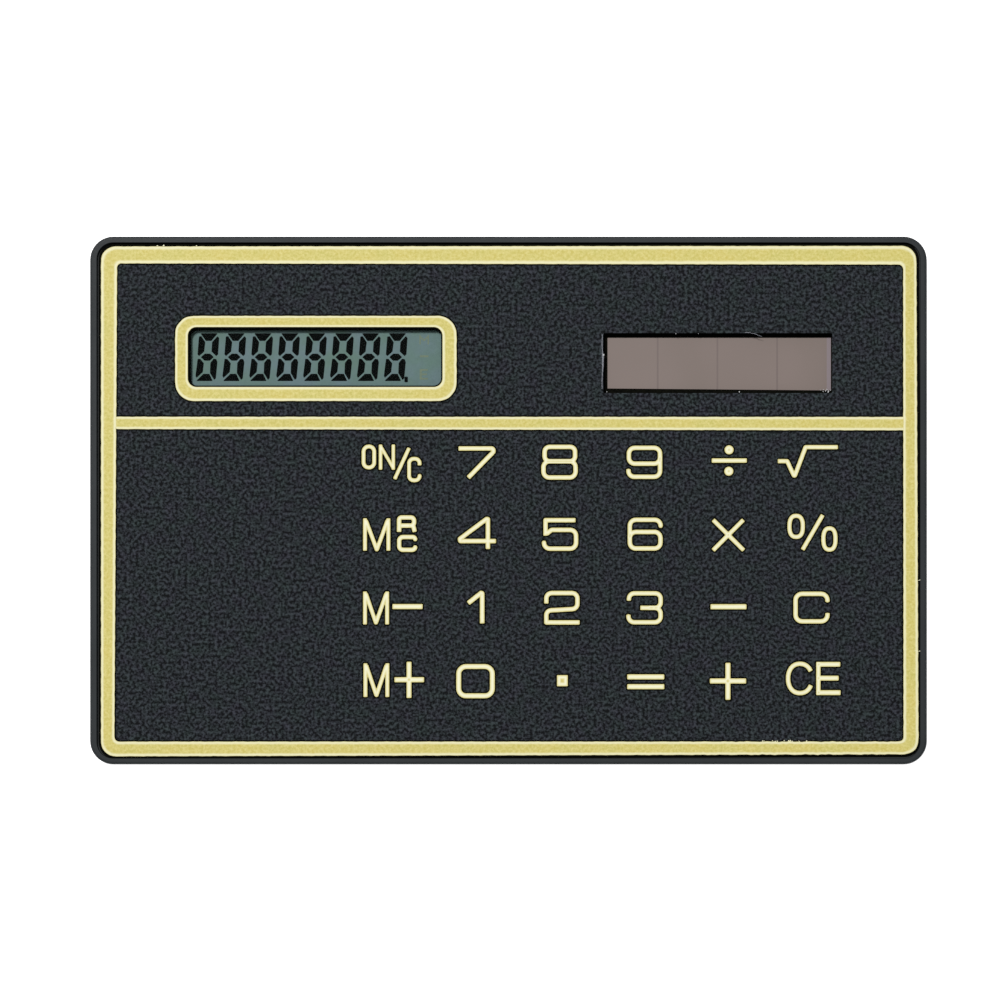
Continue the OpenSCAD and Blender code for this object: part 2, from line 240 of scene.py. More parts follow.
# %% Gold ink
def gold_ink():
    """Screen-printed ink with metal flake: satin gold, faintly mottled, and cream where the
    "edge" attribute is high: a painted highlight along the ink's edges, where it would catch the light."""
    material, place = start_material("gold_ink")
    flat = add_node(material, "Mapping", {"Vector": place, "Scale": (1, 1, 0)})
    tooth = add_node(material, "TexNoise", {"Vector": flat, "Scale": per_mm(0.3), "Roughness": 0.7})
    cloud = add_node(material, "TexNoise", {"Vector": flat, "Scale": per_mm(2.4)})
    base = tint(material, cloud, "#d6c66b", "#cec56d")
    flecked = tint(material, tooth, base, "#e9dd90", 0.36, 0.7)
    edge = add_node(material, "Attribute", out="Fac", attribute_name="edge")
    # Painted highlight: cream where the "edge" share is high, along the edges of the ink.
    colour = tint(material, edge, flecked, "#fffddb", 0, 1)
    sockets = {"Base Color": colour, "Roughness": 0.5, "Specular IOR Level": 0.15}
    return finish_material(material, sockets, tooth, 0.01, 0.5)


def trap_black(name):
    """The near-black ink that the printer lays under and just beyond the gold. The painted shade
    in the groove and the masks in the windows, which are partly painted shade, look the same."""
    return grained(name, "#050504", "#12120c", 0.2, Roughness=0.8, Specular_IOR_Level=0.03)


gold, trap = gold_ink(), trap_black("trap_ink_black")
tell(gold, trap)

# %% [markdown]
# ## Display and solar finishes
# The display is a plain reflective liquid crystal: a grey-green polariser film with dark
# segments. The solar cell is amorphous silicon, a brown film behind glass, cut into strips by
# laser. Glass and film read as one brown surface, so the strips' seams are drawn on it: the
# distance to the nearest seam is found by folding X back and forth.

# %% Polariser and segments
def polariser_film():
    """Laminated polariser: grey-green, satin, with a faint cloudiness 2 to 3 mm across."""
    material, place = start_material("polariser_grey_green")
    cloud = add_node(material, "TexNoise", {"Vector": place, "Scale": per_mm(2.6), "Detail": 3})
    fine = add_node(material, "TexNoise", {"Vector": place, "Scale": per_mm(0.4), "Detail": 1})
    base = tint(material, cloud, "#6b8a80", "#728b90", 0.35, 0.65)
    share = add_node(material, "MapRange", {"Value": fine, "To Min": 0.92, "To Max": 1.08})
    colour = add_node(material, "VectorMath", {0: base, 1: share}, operation="MULTIPLY")
    sockets = {"Base Color": colour, "Roughness": 0.45, "IOR": 1.5, "Specular IOR Level": 0.2}
    return finish_material(material, sockets)


def segment_dark():
    """Switched liquid crystal: nearly black, as flat and smooth as the polariser over it."""
    look = {"detail": 1, "Roughness": 0.6, "Specular_IOR_Level": 0.02}
    return grained("liquid_crystal_dark", "#010202", "#030505", 1.2, **look)


polariser, dark_crystal = polariser_film(), segment_dark()
tell(polariser, dark_crystal)

# %% Solar glass
SEAM_PITCH = 6.13
SEAM_SHIFT = 0.15
SEAM_HALF = 0.09
BARE_STRIP = 1.35


def solar_brown():
    """Amorphous silicon behind float glass: dull brown, with a thin seam between the strips and a
    paler strip at the right end. A point is in a seam if its folded X is below SEAM_HALF."""
    cells_low, cells_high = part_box("solar_cells")
    middle_x = (cells_low.x + cells_high.x) / 2 + SEAM_SHIFT * MM
    strip_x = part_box("solar_glass")[1].x - BARE_STRIP * MM
    material, place = start_material("amorphous_silicon_brown")
    x = add_node(material, "SeparateXYZ", {0: place})
    from_middle = add_node(material, "Math", {0: x, 1: middle_x}, operation="SUBTRACT")
    fold = add_node(material, "Math", {0: from_middle, 1: SEAM_PITCH * MM / 2}, operation="PINGPONG")
    seam = add_node(material, "Math", {0: fold, 1: SEAM_HALF * MM}, operation="LESS_THAN")
    strip = add_node(material, "Math", {0: x, 1: strip_x}, operation="GREATER_THAN")
    fine = add_node(material, "TexNoise", {"Vector": place, "Scale": per_mm(0.3)})
    cloud = add_node(material, "TexNoise", {"Vector": place, "Scale": per_mm(7), "Detail": 1})
    base = tint(material, cloud, "#837670", "#897b76")
    seamed = tint(material, seam, base, "#7a6d69", 0, 1)
    colour = tint(material, strip, seamed, "#8d8185", 0, 1)
    sockets = {"Base Color": colour, "Roughness": 0.35, "IOR": 1.52, "Specular IOR Level": 0.3}
    return finish_material(material, sockets, fine, 0.002, 0.3)


def clear_acrylic():
    """Cast acrylic sheet: clear and glossy, so nearly all of it is see-through."""
    material, place = start_material("acrylic_clear")
    haze = add_node(material, "TexNoise", {"Vector": place, "Scale": per_mm(0.8)})
    rough = add_node(material, "MapRange", {"Value": haze, "To Min": 0.05, "To Max": 0.09})
    sockets = {"Base Color": linear("#1c2422"), "Roughness": rough, "IOR": 1.49, "Alpha": 0.07}
    return finish_material(material, sockets)


solar, acrylic = solar_brown(), clear_acrylic()
tell(solar, acrylic)

# %% [markdown]
# ## Finishes inside the case
# None of these shows while the case is shut, but the pieces come apart, so each has its own:
# solder mask over woven glass, printed carbon, moulded silicone, bright solder, foam tape with
# open pores, and a ribbon with dark lines for its conductors.

# %% Board, rubber and carbon
def solder_mask():
    """FR4 board: green mask, the weave of the glass cloth and lighter tracks under it."""
    material, place = start_material("fr4_solder_mask_green")
    weave = add_node(material, "TexChecker", {"Vector": place, "Scale": per_mm(0.5)}, "Fac")
    bands = {"Vector": place, "Scale": per_mm(9), "Distortion": 3.0, "Detail": 1.0}
    track = add_node(material, "TexWave", bands, "Fac", bands_direction="DIAGONAL")
    base = tint(material, weave, "#214b35", "#255139", 0, 1)
    share = add_node(material, "MapRange", {"Value": track, "From Min": 0.78, "From Max": 0.82})
    colour = tint(material, share, base, "#3a7450", 0, 1)
    sockets = {"Base Color": colour, "Roughness": 0.38, "IOR": 1.5}
    return finish_material(material, sockets, share, 0.03, 0.5)


def matt_grained(name, dark_hex, light_hex, size_mm, rough, depth_mm, ior=1.5):
    """A matt moulded or printed finish with an even grain of size_mm."""
    return grained(name, dark_hex, light_hex, size_mm, depth_mm, Roughness=rough, IOR=ior)


def foam_tape():
    """Open-cell polyurethane foam: pores of about 0.25 mm in near-black walls."""
    material, place = start_material("foam_tape_black")
    pores = add_node(material, "TexVoronoi", {"Vector": place, "Scale": per_mm(0.25)}, "Distance")
    colour = tint(material, pores, "#2e2f30", "#121313", 0.1, 0.7)
    sockets = {"Base Color": colour, "Roughness": 0.95, "IOR": 1.4}
    return finish_material(material, sockets, pores, -0.08)


def ribbon_lines():
    """Heat-seal ribbon: amber polyester with a carbon line every 0.9 mm. A wave of scale s repeats
    every 2 pi / 20 s, so the scale is one over the spacing, times pi / 10."""
    material, place = start_material("heat_seal_ribbon")
    lines = {"Vector": place, "Scale": per_mm(0.9) * math.pi / 10, "Distortion": 0.0}
    wave = add_node(material, "TexWave", lines, "Fac", bands_direction="X")
    colour = tint(material, wave, "#6d5a3c", "#17181a", 0.45, 0.55)
    sockets = {"Base Color": colour, "Roughness": 0.42, "IOR": 1.57}
    return finish_material(material, sockets, wave, 0.01, 0.4)


board, foam, ribbon = solder_mask(), foam_tape(), ribbon_lines()
silicone = matt_grained("silicone_rubber_grey", "#7d8280", "#8d9290", 0.2, 0.7, 0.01, 1.41)
carbon = matt_grained("carbon_ink_black", "#101112", "#1c1d1e", 0.1, 0.75, 0.008)
resin = matt_grained("epoxy_drop_black", "#0b0c0c", "#121314", 1.5, 0.16, 0.02, 1.55)
glue = matt_grained("acrylic_adhesive", "#a9aba6", "#b6b8b2", 0.6, 0.5, 0.01)
back_ink = matt_grained("silicon_back_ink", "#4a3430", "#553c37", 0.3, 0.55, 0.006)
red_sleeve = matt_grained("pvc_sleeve_red", "#a02b24", "#ad342c", 0.3, 0.4, 0.006, 1.53)
black_sleeve = matt_grained("pvc_sleeve_black", "#1c1f23", "#26292e", 0.3, 0.4, 0.006, 1.53)
tell(board, foam, ribbon, silicone, carbon, resin, glue, back_ink, red_sleeve, black_sleeve)

# %% Metals, glass and chip parts
def bright_metal(name, hex_colour, rough):
    """A bare soft metal: bright, with faint clouds in its roughness from cooling or rolling."""
    material, place = start_material(name)
    cloud = add_node(material, "TexNoise", {"Vector": place, "Scale": per_mm(0.35), "Detail": 3})
    span = {"Value": cloud, "To Min": rough - 0.08, "To Max": rough + 0.12}
    spread = add_node(material, "MapRange", span)
    sockets = {"Base Color": linear(hex_colour), "Metallic": 1.0, "Roughness": spread}
    return finish_material(material, sockets, cloud, 0.01, 0.4)


def display_glass():
    """Thin float glass: clear with a green cast, and a faint grey where the coating lies."""
    look = {"detail": 1, "Roughness": 0.05, "IOR": 1.52, "Alpha": 0.35}
    return grained("float_glass_green", "#b9cdc3", "#c6d6cd", 5, **look)


PLATED_END = 0.18


def plated_part(node, body_hex):
    """A chip part: a ceramic or resin body whose two ends, PLATED_END of its length each, are
    tinned. A point is on an end if its distance from the middle in X is over the body's half."""
    low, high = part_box(node)
    middle = (low.x + high.x) / 2
    body_half = (high.x - low.x) * (0.5 - PLATED_END)
    material, place = start_material(node + "_ceramic_and_tin")
    x = add_node(material, "SeparateXYZ", {0: place})
    offset = add_node(material, "Math", {0: x, 1: middle}, operation="SUBTRACT")
    away = add_node(material, "Math", {0: offset}, operation="ABSOLUTE")
    plated = add_node(material, "Math", {0: away, 1: body_half}, operation="GREATER_THAN")
    bumps = add_node(material, "TexNoise", {"Vector": place, "Scale": per_mm(0.15)})
    body = tint(material, bumps, body_hex, "#8b8b86", 0.3, 1.4)
    colour = tint(material, plated, body, "#c8cacb", 0, 1)
    sockets = {"Base Color": colour, "Metallic": plated, "Roughness": 0.4}
    return finish_material(material, sockets, bumps, 0.008)


tin, aluminium = bright_metal("solder_tin", "#c4c7c9", 0.3), bright_metal("aluminised_film", "#c9ccca", 0.35)
glass = display_glass()
tell(tin, aluminium, glass)

# %% Give the carried-over parts their finishes
NODE_FINISHES = {
    "front_case": abs_plastic,
    "rear_case": abs_plastic,
    "face_film": film,
    "film_adhesive": glue,
    "display_window": acrylic,
    "lcd_front_polariser": polariser,
    "lcd_front_glass": glass,
    "lcd_rear_glass": glass,
    "lcd_reflector": aluminium,
    "lcd_cushion": foam,
    "lcd_ribbon": ribbon,
    "solar_glass": solar,
    "solar_cells": back_ink,
    "solar_tape": foam,
    "solar_lead_positive": red_sleeve,
    "solar_lead_negative": black_sleeve,
    "solder_joints": tin,
    "key_mat": silicone,
    "main_board": board,
    "key_contacts": carbon,
    "chip_cover": resin,
    "buffer_capacitor": plated_part("buffer_capacitor", "#a88e62"),
    "clamp_diode": plated_part("clamp_diode", "#1c1d1e"),
    "chip_resistors": plated_part("chip_resistors", "#24272a"),
}
KEY_NODES = [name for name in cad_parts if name.startswith("key_") and name not in NODE_FINISHES]


def paint_node(node, finish):
    """Puts the finish in every material slot of a carried-over part."""
    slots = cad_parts[node].material_slots
    for slot in slots:
        slot.material = finish
    if not slots:
        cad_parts[node].data.materials.append(finish)


for node, finish in NODE_FINISHES.items():
    paint_node(node, finish)
for node in KEY_NODES:
    paint_node(node, film)
print("painted parts:", len(NODE_FINISHES), "and keys:", len(KEY_NODES))

# %% [markdown]
# ## Outlines and solids
# Nearly everything on this face is a flat outline with a small thickness. So the tools are: a
# line with round corners, a filler that turns closed outlines into triangles, a thickener that
# makes a closed solid of them, and a stack of outlines for shapes with a profile.

# %% Lines with round corners
def across(u, v):
    """The cross product of plane vectors: u.x v.y - u.y v.x."""
    return u[..., 0] * v[..., 1] - u[..., 1] * v[..., 0]


def rounded(corners, radius, closed=True, steps=6, along=0):
    """A line with round corners. Each arc's centre is the corner plus radius x (nu + nv) / (1 + nu.nv),
    where nu and nv are the two sides' normals, and the arc turns as far as the line does there."""
    p = np.array(corners, float)
    r = np.zeros(len(p))
    r[slice(None) if closed else slice(1, -1)] = radius
    before = p - np.roll(p, 1, 0)
    after = np.roll(p, -1, 0) - p
    if not closed:
        before[0] = after[0]
        after[-1] = before[-1]
    u = before / np.linalg.norm(before, axis=1, keepdims=True)
    v = after / np.linalg.norm(after, axis=1, keepdims=True)
    turn = np.arctan2(across(u, v), (u * v).sum(1))
    side = np.where(turn < 0, -1.0, 1.0)[:, None]
    nu = np.stack([-u[:, 1], u[:, 0]], 1)
    nv = np.stack([-v[:, 1], v[:, 0]], 1)
    centre = p + side * r[:, None] * (nu + nv) / (1 + (nu * nv).sum(1))[:, None]
    spoke = -side * r[:, None] * nu
    angle = turn[:, None] * np.linspace(0, 1, steps + 1)
    turned_x = spoke[:, :1] * np.cos(angle) - spoke[:, 1:] * np.sin(angle)
    turned_y = spoke[:, :1] * np.sin(angle) + spoke[:, 1:] * np.cos(angle)
    arcs = centre[:, None] + np.stack([turned_x, turned_y], -1)
    if not closed:
        line = arcs.reshape(-1, 2)
        apart = np.linalg.norm(np.diff(line, axis=0), axis=1) > 1e-6
        return line[np.concatenate([[True], apart])]
    share = np.linspace(0, 1, along + 2)[1:-1, None]
    straights = arcs[:, -1:] * (1 - share) + np.roll(arcs[:, :1], -1, 0) * share
    return np.concatenate([arcs, straights], 1).reshape(-1, 2)


def round_rectangle(centre, half_w, half_h, radius, **steps):
    """A rectangle with round corners, anticlockwise from its top right."""
    x, y = centre
    corners = [(x + half_w, y + half_h), (x - half_w, y + half_h)]
    corners += [(x - half_w, y - half_h), (x + half_w, y - half_h)]
    return rounded(corners, radius, **steps)


print("points round a square:", len(round_rectangle((0, 0), 1, 1, 0.5)))

# %% Fill outlines and thicken them
def fill(outlines):
    """Triangles inside closed outlines, where an outline in another is a hole: a triangle stays
    if a line from its middle towards +X crosses the outlines an odd number of times."""
    counts = [len(o) for o in outlines]
    starts = np.cumsum([0] + counts[:-1])
    points = np.concatenate(outlines)
    first = np.arange(len(points))
    second = np.concatenate([s + (np.arange(n) + 1) % n for s, n in zip(starts, counts)])
    edges = np.stack([first, second], 1).tolist()
    made = delaunay_2d_cdt(points.tolist(), edges, [], 0, 1e-7)
    verts, triangles = np.array(made[0], float), np.array(made[2])
    x, y = verts[triangles].mean(1).T[:, :, None]
    ax, ay = points[first].T[:, None]
    bx, by = points[second].T[:, None]
    rise = np.where(by == ay, 1, by - ay)
    crosses = ((ay > y) != (by > y)) & (x < (bx - ax) * (y - ay) / rise + ax)
    return verts, triangles[crosses.sum(1) % 2 == 1]


def thicken(points, triangles, low, high):
    """A closed solid: the triangles at height high, again at low turned over, and a wall along
    every edge that only one triangle has."""
    a, b, c = points[triangles].transpose(1, 0, 2)
    facing_down = across(b - a, c - a) < 0
    triangles = np.where(facing_down[:, None], triangles[:, ::-1], triangles)
    n = len(points)
    edge = np.concatenate([triangles[:, [0, 1]], triangles[:, [1, 2]], triangles[:, [2, 0]]])
    rim = edge[~np.isin(edge[:, 0] * n + edge[:, 1], edge[:, 1] * n + edge[:, 0])]
    left, right = rim[:, 0], rim[:, 1]
    walls = [np.stack([left, right, right + n], 1), np.stack([left, right + n, left + n], 1)]
    faces = np.concatenate([triangles + n, triangles[:, ::-1], *walls])
    solid = np.zeros((2 * n, 3))
    solid[:, :2] = np.tile(points, (2, 1))
    solid[:n, 2] = low
    solid[n:, 2] = high
    return solid, faces


block = thicken(*fill([round_rectangle((0, 0), 1, 1, 0.5)]), 0, 1)
print("a block with round corners: points", len(block[0]), "triangles", len(block[1]))

# %% Stack rings
def stack(rings):
    """A closed surface through rings of equal length, listed upwards on the outside: quads cut
    in two between neighbours, and a fan to the middle of the first and last ring."""
    rings = np.asarray(rings)
    count, size = rings.shape[:2]
    k = np.arange(size)
    ahead = (k + 1) % size
    base = np.arange(count - 1)[:, None] * size
    low_left, low_right = (base + k).ravel(), (base + ahead).ravel()
    high_left, high_right = low_left + size, low_right + size
    points = [rings.reshape(-1, 3), rings[0].mean(0)[None], rings[-1].mean(0)[None]]
    bottom, top = count * size, count * size + 1
    last = (count - 1) * size
    faces = [
        np.stack([low_left, low_right, high_right], 1),
        np.stack([low_left, high_right, high_left], 1),
        np.stack([ahead, k, np.full(size, bottom)], 1),
        np.stack([last + k, last + ahead, np.full(size, top)], 1),
    ]
    return np.concatenate(points), np.concatenate(faces)


# %% Put a shape in the scene
SHARP_ANGLE = math.radians(35)


def new_piece(name, shape, finish, body="casing"):
    """Makes a mesh object from points in mm and triangles, and sets its finish and its
    body. A piece given None for a body is left without one."""
    points, faces = shape
    used, faces = np.unique(faces, return_inverse=True)
    faces = faces.reshape(-1, 3)
    mesh = bpy.data.meshes.new(name)
    mesh.vertices.add(len(used))
    mesh.vertices.foreach_set("co", (points[used] * MM).astype(np.float32).ravel())
    mesh.loops.add(faces.size)
    mesh.loops.foreach_set("vertex_index", faces.astype(np.int32).ravel())
    mesh.polygons.add(len(faces))
    mesh.polygons.foreach_set("loop_start", np.arange(0, faces.size, 3, dtype=np.int32))
    mesh.update(calc_edges=True)
    mesh.polygons.foreach_set("use_smooth", np.ones(len(faces), bool))
    mesh.set_sharp_from_angle(angle=SHARP_ANGLE)
    mesh.materials.append(finish)
    piece = bpy.data.objects.new(name, mesh)
    bpy.context.scene.collection.objects.link(piece)
    if body:
        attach(piece, body)
    return piece


def box_mm(node):
    """Lowest and highest corner of a part, in millimetres."""
    low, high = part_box(node)
    return np.array(low) / MM, np.array(high) / MM


print("front case, mm:", *(corner.round(2) for corner in box_mm("front_case")))

# %% [markdown]
# ## Face film
# The sheet is stamped from film: its outline is a few hundredths out of square, as a hand-laid
# die leaves it. It has a window for the display and one for the solar cell. Each key is a patch
# of the same film with a plunger behind, so the sheet leaves room for 24 patches, and their
# edges share its points exactly.

# %% Film sheet
film_low, film_high = box_mm("face_film")
FILM_TOP, FILM_BOTTOM = film_high[2], film_low[2]
FILM_CORNERS = [(41.73, 26.14), (-41.66, 26.06), (-41.66, -26.22), (41.97, -25.97)]
FILM_RADIUS = 1.5
KEY_GAP = 0.1
KEY_RADIUS = 1.1
KEY_SIDE_POINTS = 7
LEAST_RADIUS = 0.04
lens_low, lens_high = box_mm("display_window")
LENS_BORDER = 1.1
VIEW_DROP = 0.06
VIEW_CENTRE = (lens_low + lens_high)[:2] / 2 - (0, VIEW_DROP)
VIEW_RADIUS = 0.9
VIEW_HALF = (lens_high - lens_low)[:2] / 2 - LENS_BORDER
cell_low, cell_high = box_mm("solar_glass")
SUN_SHIFT = (0.11, -0.355)
SUN_CENTRE = (cell_low + cell_high)[:2] / 2 + SUN_SHIFT
SUN_HALF = (11.70, 3.07)
SUN_RADIUS = 0.12


def key_centre(node):
    """Middle of a key in plan."""
    low, high = box_mm(node)
    return (low + high)[:2] / 2


key_low, key_high = box_mm(KEY_NODES[0])
KEY_HALF = (key_high - key_low)[:2] / 2 + KEY_GAP


def key_outline(centre, inset):
    """The edge of a key's patch, moved inwards by inset."""
    radius = max(KEY_RADIUS - inset, LEAST_RADIUS)
    return round_rectangle(centre, *(KEY_HALF - inset), radius, along=KEY_SIDE_POINTS)


def film_sheet():
    """The film's outline with its two windows and 24 key openings, as a closed solid."""
    outlines = [rounded(FILM_CORNERS, FILM_RADIUS, steps=12)]
    outlines.append(round_rectangle(VIEW_CENTRE, *VIEW_HALF, VIEW_RADIUS))
    outlines.append(round_rectangle(SUN_CENTRE, *SUN_HALF, SUN_RADIUS, steps=3))
    outlines += [key_outline(key_centre(node), 0) for node in KEY_NODES]
    return thicken(*fill(outlines), FILM_BOTTOM, FILM_TOP)


sheet = new_piece("face_film_sheet", film_sheet(), film)
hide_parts("face_film")
print("film sheet triangles:", len(sheet.data.polygons))

# %% [markdown]
# ## Keys
# A key here isn't a cap. Pressing a legend dents the film, and the film pushes a rubber plunger
# whose carbon pill closes the contacts on the board. So each key is a patch of film over a
# plunger with a thin rubber skirt, and a carbon pill that goes with the key. The patch and the
# plunger are not tied to the key and don't bend; only each point's distance to the patch's edge is worked
# out.

# %% Distance from a key's edge
WEB = 0.7


def edge_distance(points, centre):
    """Distance from the patch's edge, inwards: radius minus the length of the part of the
    offset beyond the straight core, which is the half size less the radius."""
    q = np.abs(points[:, :2] - centre) - (KEY_HALF - KEY_RADIUS)
    outside = np.linalg.norm(np.maximum(q, 0), axis=1)
    return KEY_RADIUS - outside - np.minimum(q.max(1), 0)


def flex(piece):
    """Bakes the piece's placement into its points. The points are read but not moved, so
    the piece is not bent and takes no share of the key's travel."""
    points = np.empty(len(piece.data.vertices) * 3, np.float32)
    piece.data.vertices.foreach_get("co", points)
    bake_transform(piece)


centre = key_centre(KEY_NODES[0])
print("from a key's middle to its edge, mm:", edge_distance(centre[None], centre).round(2))

# %% Film patches
WEB_RINGS, CORE_RINGS = 8, 6
LAST_INSET = KEY_HALF[1] - 0.1
core_steps = np.linspace(WEB, LAST_INSET, CORE_RINGS)[1:]
PATCH_STEPS = np.concatenate([np.linspace(0, WEB, WEB_RINGS), core_steps])


def key_solid(centre, profile):
    """A closed solid through rings of the patch's outline, one for each inset and height."""
    return stack([np.insert(key_outline(centre, i), 2, z, axis=1) for i, z in profile])


def film_patch(centre):
    """Rings of the patch's edge, from the middle of its underside out, up and back in on top."""
    insets = np.concatenate([PATCH_STEPS[::-1], PATCH_STEPS])
    heights = np.repeat([FILM_BOTTOM, FILM_TOP], len(PATCH_STEPS))
    return key_solid(centre, zip(insets, heights))


print("points in a patch:", len(film_patch(centre)[0]))

# %% Rubber plungers and carbon pills
PILL_T = 0.2
PILL_INSET = 1.2
PILL_SOFT = 0.05
PLUNGER_INSET = 0.7
PLUNGER_SOFT = 0.15
PLUNGER_LOW = key_low[2] + PILL_T
MIDDLE_INSET = 2.4
SKIRT_INSET = KEY_HALF[0] - 3.2
SKIRT_Z = 1.62
SKIRT_T = 0.12


def rubber_key(centre):
    """A moulded plunger with a thin skirt out to the wall of its cell. The profile is a list of
    insets from the patch's edge and heights, from the bottom up, and it ends in a quarter circle:
    soft x (1 - cos a) inwards and soft x (1 - sin a) below the film."""
    wall, side, soft = SKIRT_INSET, PLUNGER_INSET, PLUNGER_SOFT
    profile = [(MIDDLE_INSET, PLUNGER_LOW), (side + 0.25, PLUNGER_LOW), (wall + 0.1, SKIRT_Z - 0.03)]
    profile += [(wall, SKIRT_Z), (wall, SKIRT_Z + SKIRT_T), (wall + 0.12, SKIRT_Z + SKIRT_T)]
    profile += [(side, PLUNGER_LOW + 0.22), (side, FILM_BOTTOM - soft)]
    angle = np.linspace(0, math.pi / 2, 5)[1:]
    curve = np.stack([side + soft * (1 - np.cos(angle)), FILM_BOTTOM - soft * (1 - np.sin(angle))], 1)
    return key_solid(centre, np.concatenate([profile, curve, [(MIDDLE_INSET, FILM_BOTTOM)]]))


def carbon_pill(centre):
    """A thin pad with softened edges under the plunger."""
    low, high = key_low[2], PLUNGER_LOW
    profile = [(MIDDLE_INSET, low), (PILL_INSET + PILL_SOFT, low), (PILL_INSET, low + PILL_SOFT)]
    return key_solid(centre, profile + [(PILL_INSET, high), (MIDDLE_INSET, high)])


print("plunger's height, mm:", round(FILM_BOTTOM - PLUNGER_LOW, 2))

# %% Make all 24 keys
for node in KEY_NODES:
    centre = key_centre(node)
    patch = new_piece(node + "_film", film_patch(centre), film, None)
    flex(patch)
    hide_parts(node)
    rubber = new_piece(node + "_plunger", rubber_key(centre), silicone, None)
    flex(rubber)
    new_piece(node + "_pill", carbon_pill(centre), carbon, node)
print("keys:", len(KEY_NODES), "patch triangles:", len(patch.data.polygons))

# %% [markdown]
# ## Legends
# Printed numbers and signs are strokes of even width. A stroke is described by its centre line,
# and a distance formula says how far any point is from its edge. Where that distance is negative
# there is ink. The smallest distance of several strokes joins them cleanly where they cross.

# %% Distance to a stroke
END_RADIUS = 0.07


def stroke_distance(points, line, width, closed):
    """Distance to the stroke's edge, negative in the ink. A middle piece of the line counts its
    nearest point less half the width; the two end pieces are boxes, so the ends are square."""
    start = line if closed else line[:-1]
    end = np.roll(line, -1, 0) if closed else line[1:]
    length = np.linalg.norm(end - start, axis=1)
    way = (end - start) / length[:, None]
    offset = points[:, None] - start
    forward = (offset * way).sum(-1)
    beyond = np.maximum(-forward, forward - length)
    beside = np.abs(across(way, offset))
    round_end = np.hypot(np.maximum(beyond, 0), beside) - width / 2
    if closed:
        return round_end.min(1)
    over, out = beyond + END_RADIUS, beside - width / 2 + END_RADIUS
    square_end = np.hypot(np.maximum(over, 0), np.maximum(out, 0)) - END_RADIUS
    square_end = square_end + np.minimum(np.maximum(over, out), 0)
    found = np.minimum(square_end[:, 0], square_end[:, -1])
    if len(line) > 2:
        joints = np.linalg.norm(points[:, None] - line[1:-1], axis=2) - width / 2
        found = np.minimum(found, joints.min(1))
    if len(line) > 3:
        found = np.minimum(found, round_end[:, 1:-1].min(1))
    return found


level = np.array([(-1.0, 0), (1, 0)])
print("from (0, 1) to a stroke 0.4 wide:", stroke_distance(np.array([(0.0, 1)]), level, 0.4, False))

# %% Kinds of stroke
STROKE = 0.45


def line(points, radius=0.0, width=STROKE):
    """An open stroke through these points, with round bends."""
    return rounded(points, radius, closed=False), width, False


def loop(x0, x1, y0, y1, radius, width=STROKE):
    """A closed stroke along a rectangle with round corners."""
    return rounded([(x1, y1), (x0, y1), (x0, y0), (x1, y0)], radius), width, True


def bar(x0, x1, y, width=0.52):
    """A level bar between two ends."""
    return line([(x0, y), (x1, y)], 0, width)


def post(x, y0, y1, width=STROKE):
    """An upright between two ends."""
    return line([(x, y0), (x, y1)], 0, width)


def oval(x, y, half_w, half_h, first=0, last=360, power=2.0, width=STROKE):
    """Part of an oval: the sine and cosine raised to 2 / power, so a higher power is squarer."""
    angle = np.radians(np.linspace(first, last, 33))
    c, s = np.cos(angle), np.sin(angle)
    px = x + half_w * np.sign(c) * np.abs(c) ** (2 / power)
    py = y + half_h * np.sign(s) * np.abs(s) ** (2 / power)
    closed = last - first == 360
    return np.stack([px, py], 1)[: 32 if closed else 33], width, closed


def letter_m(x0, x1, y0, y1, foot_x, foot_y, width=0.4):
    """Two posts and the V between them."""
    v = line([(x0 + 0.08, y1 - 0.2), (foot_x, foot_y), (x1 - 0.08, y1 - 0.2)], 0.02, width)
    return [post(x0, y0, y1, width), post(x1, y0, y1, width), v]


print("points in a loop:", len(loop(-1, 1, -1, 1, 0.5)[0]))

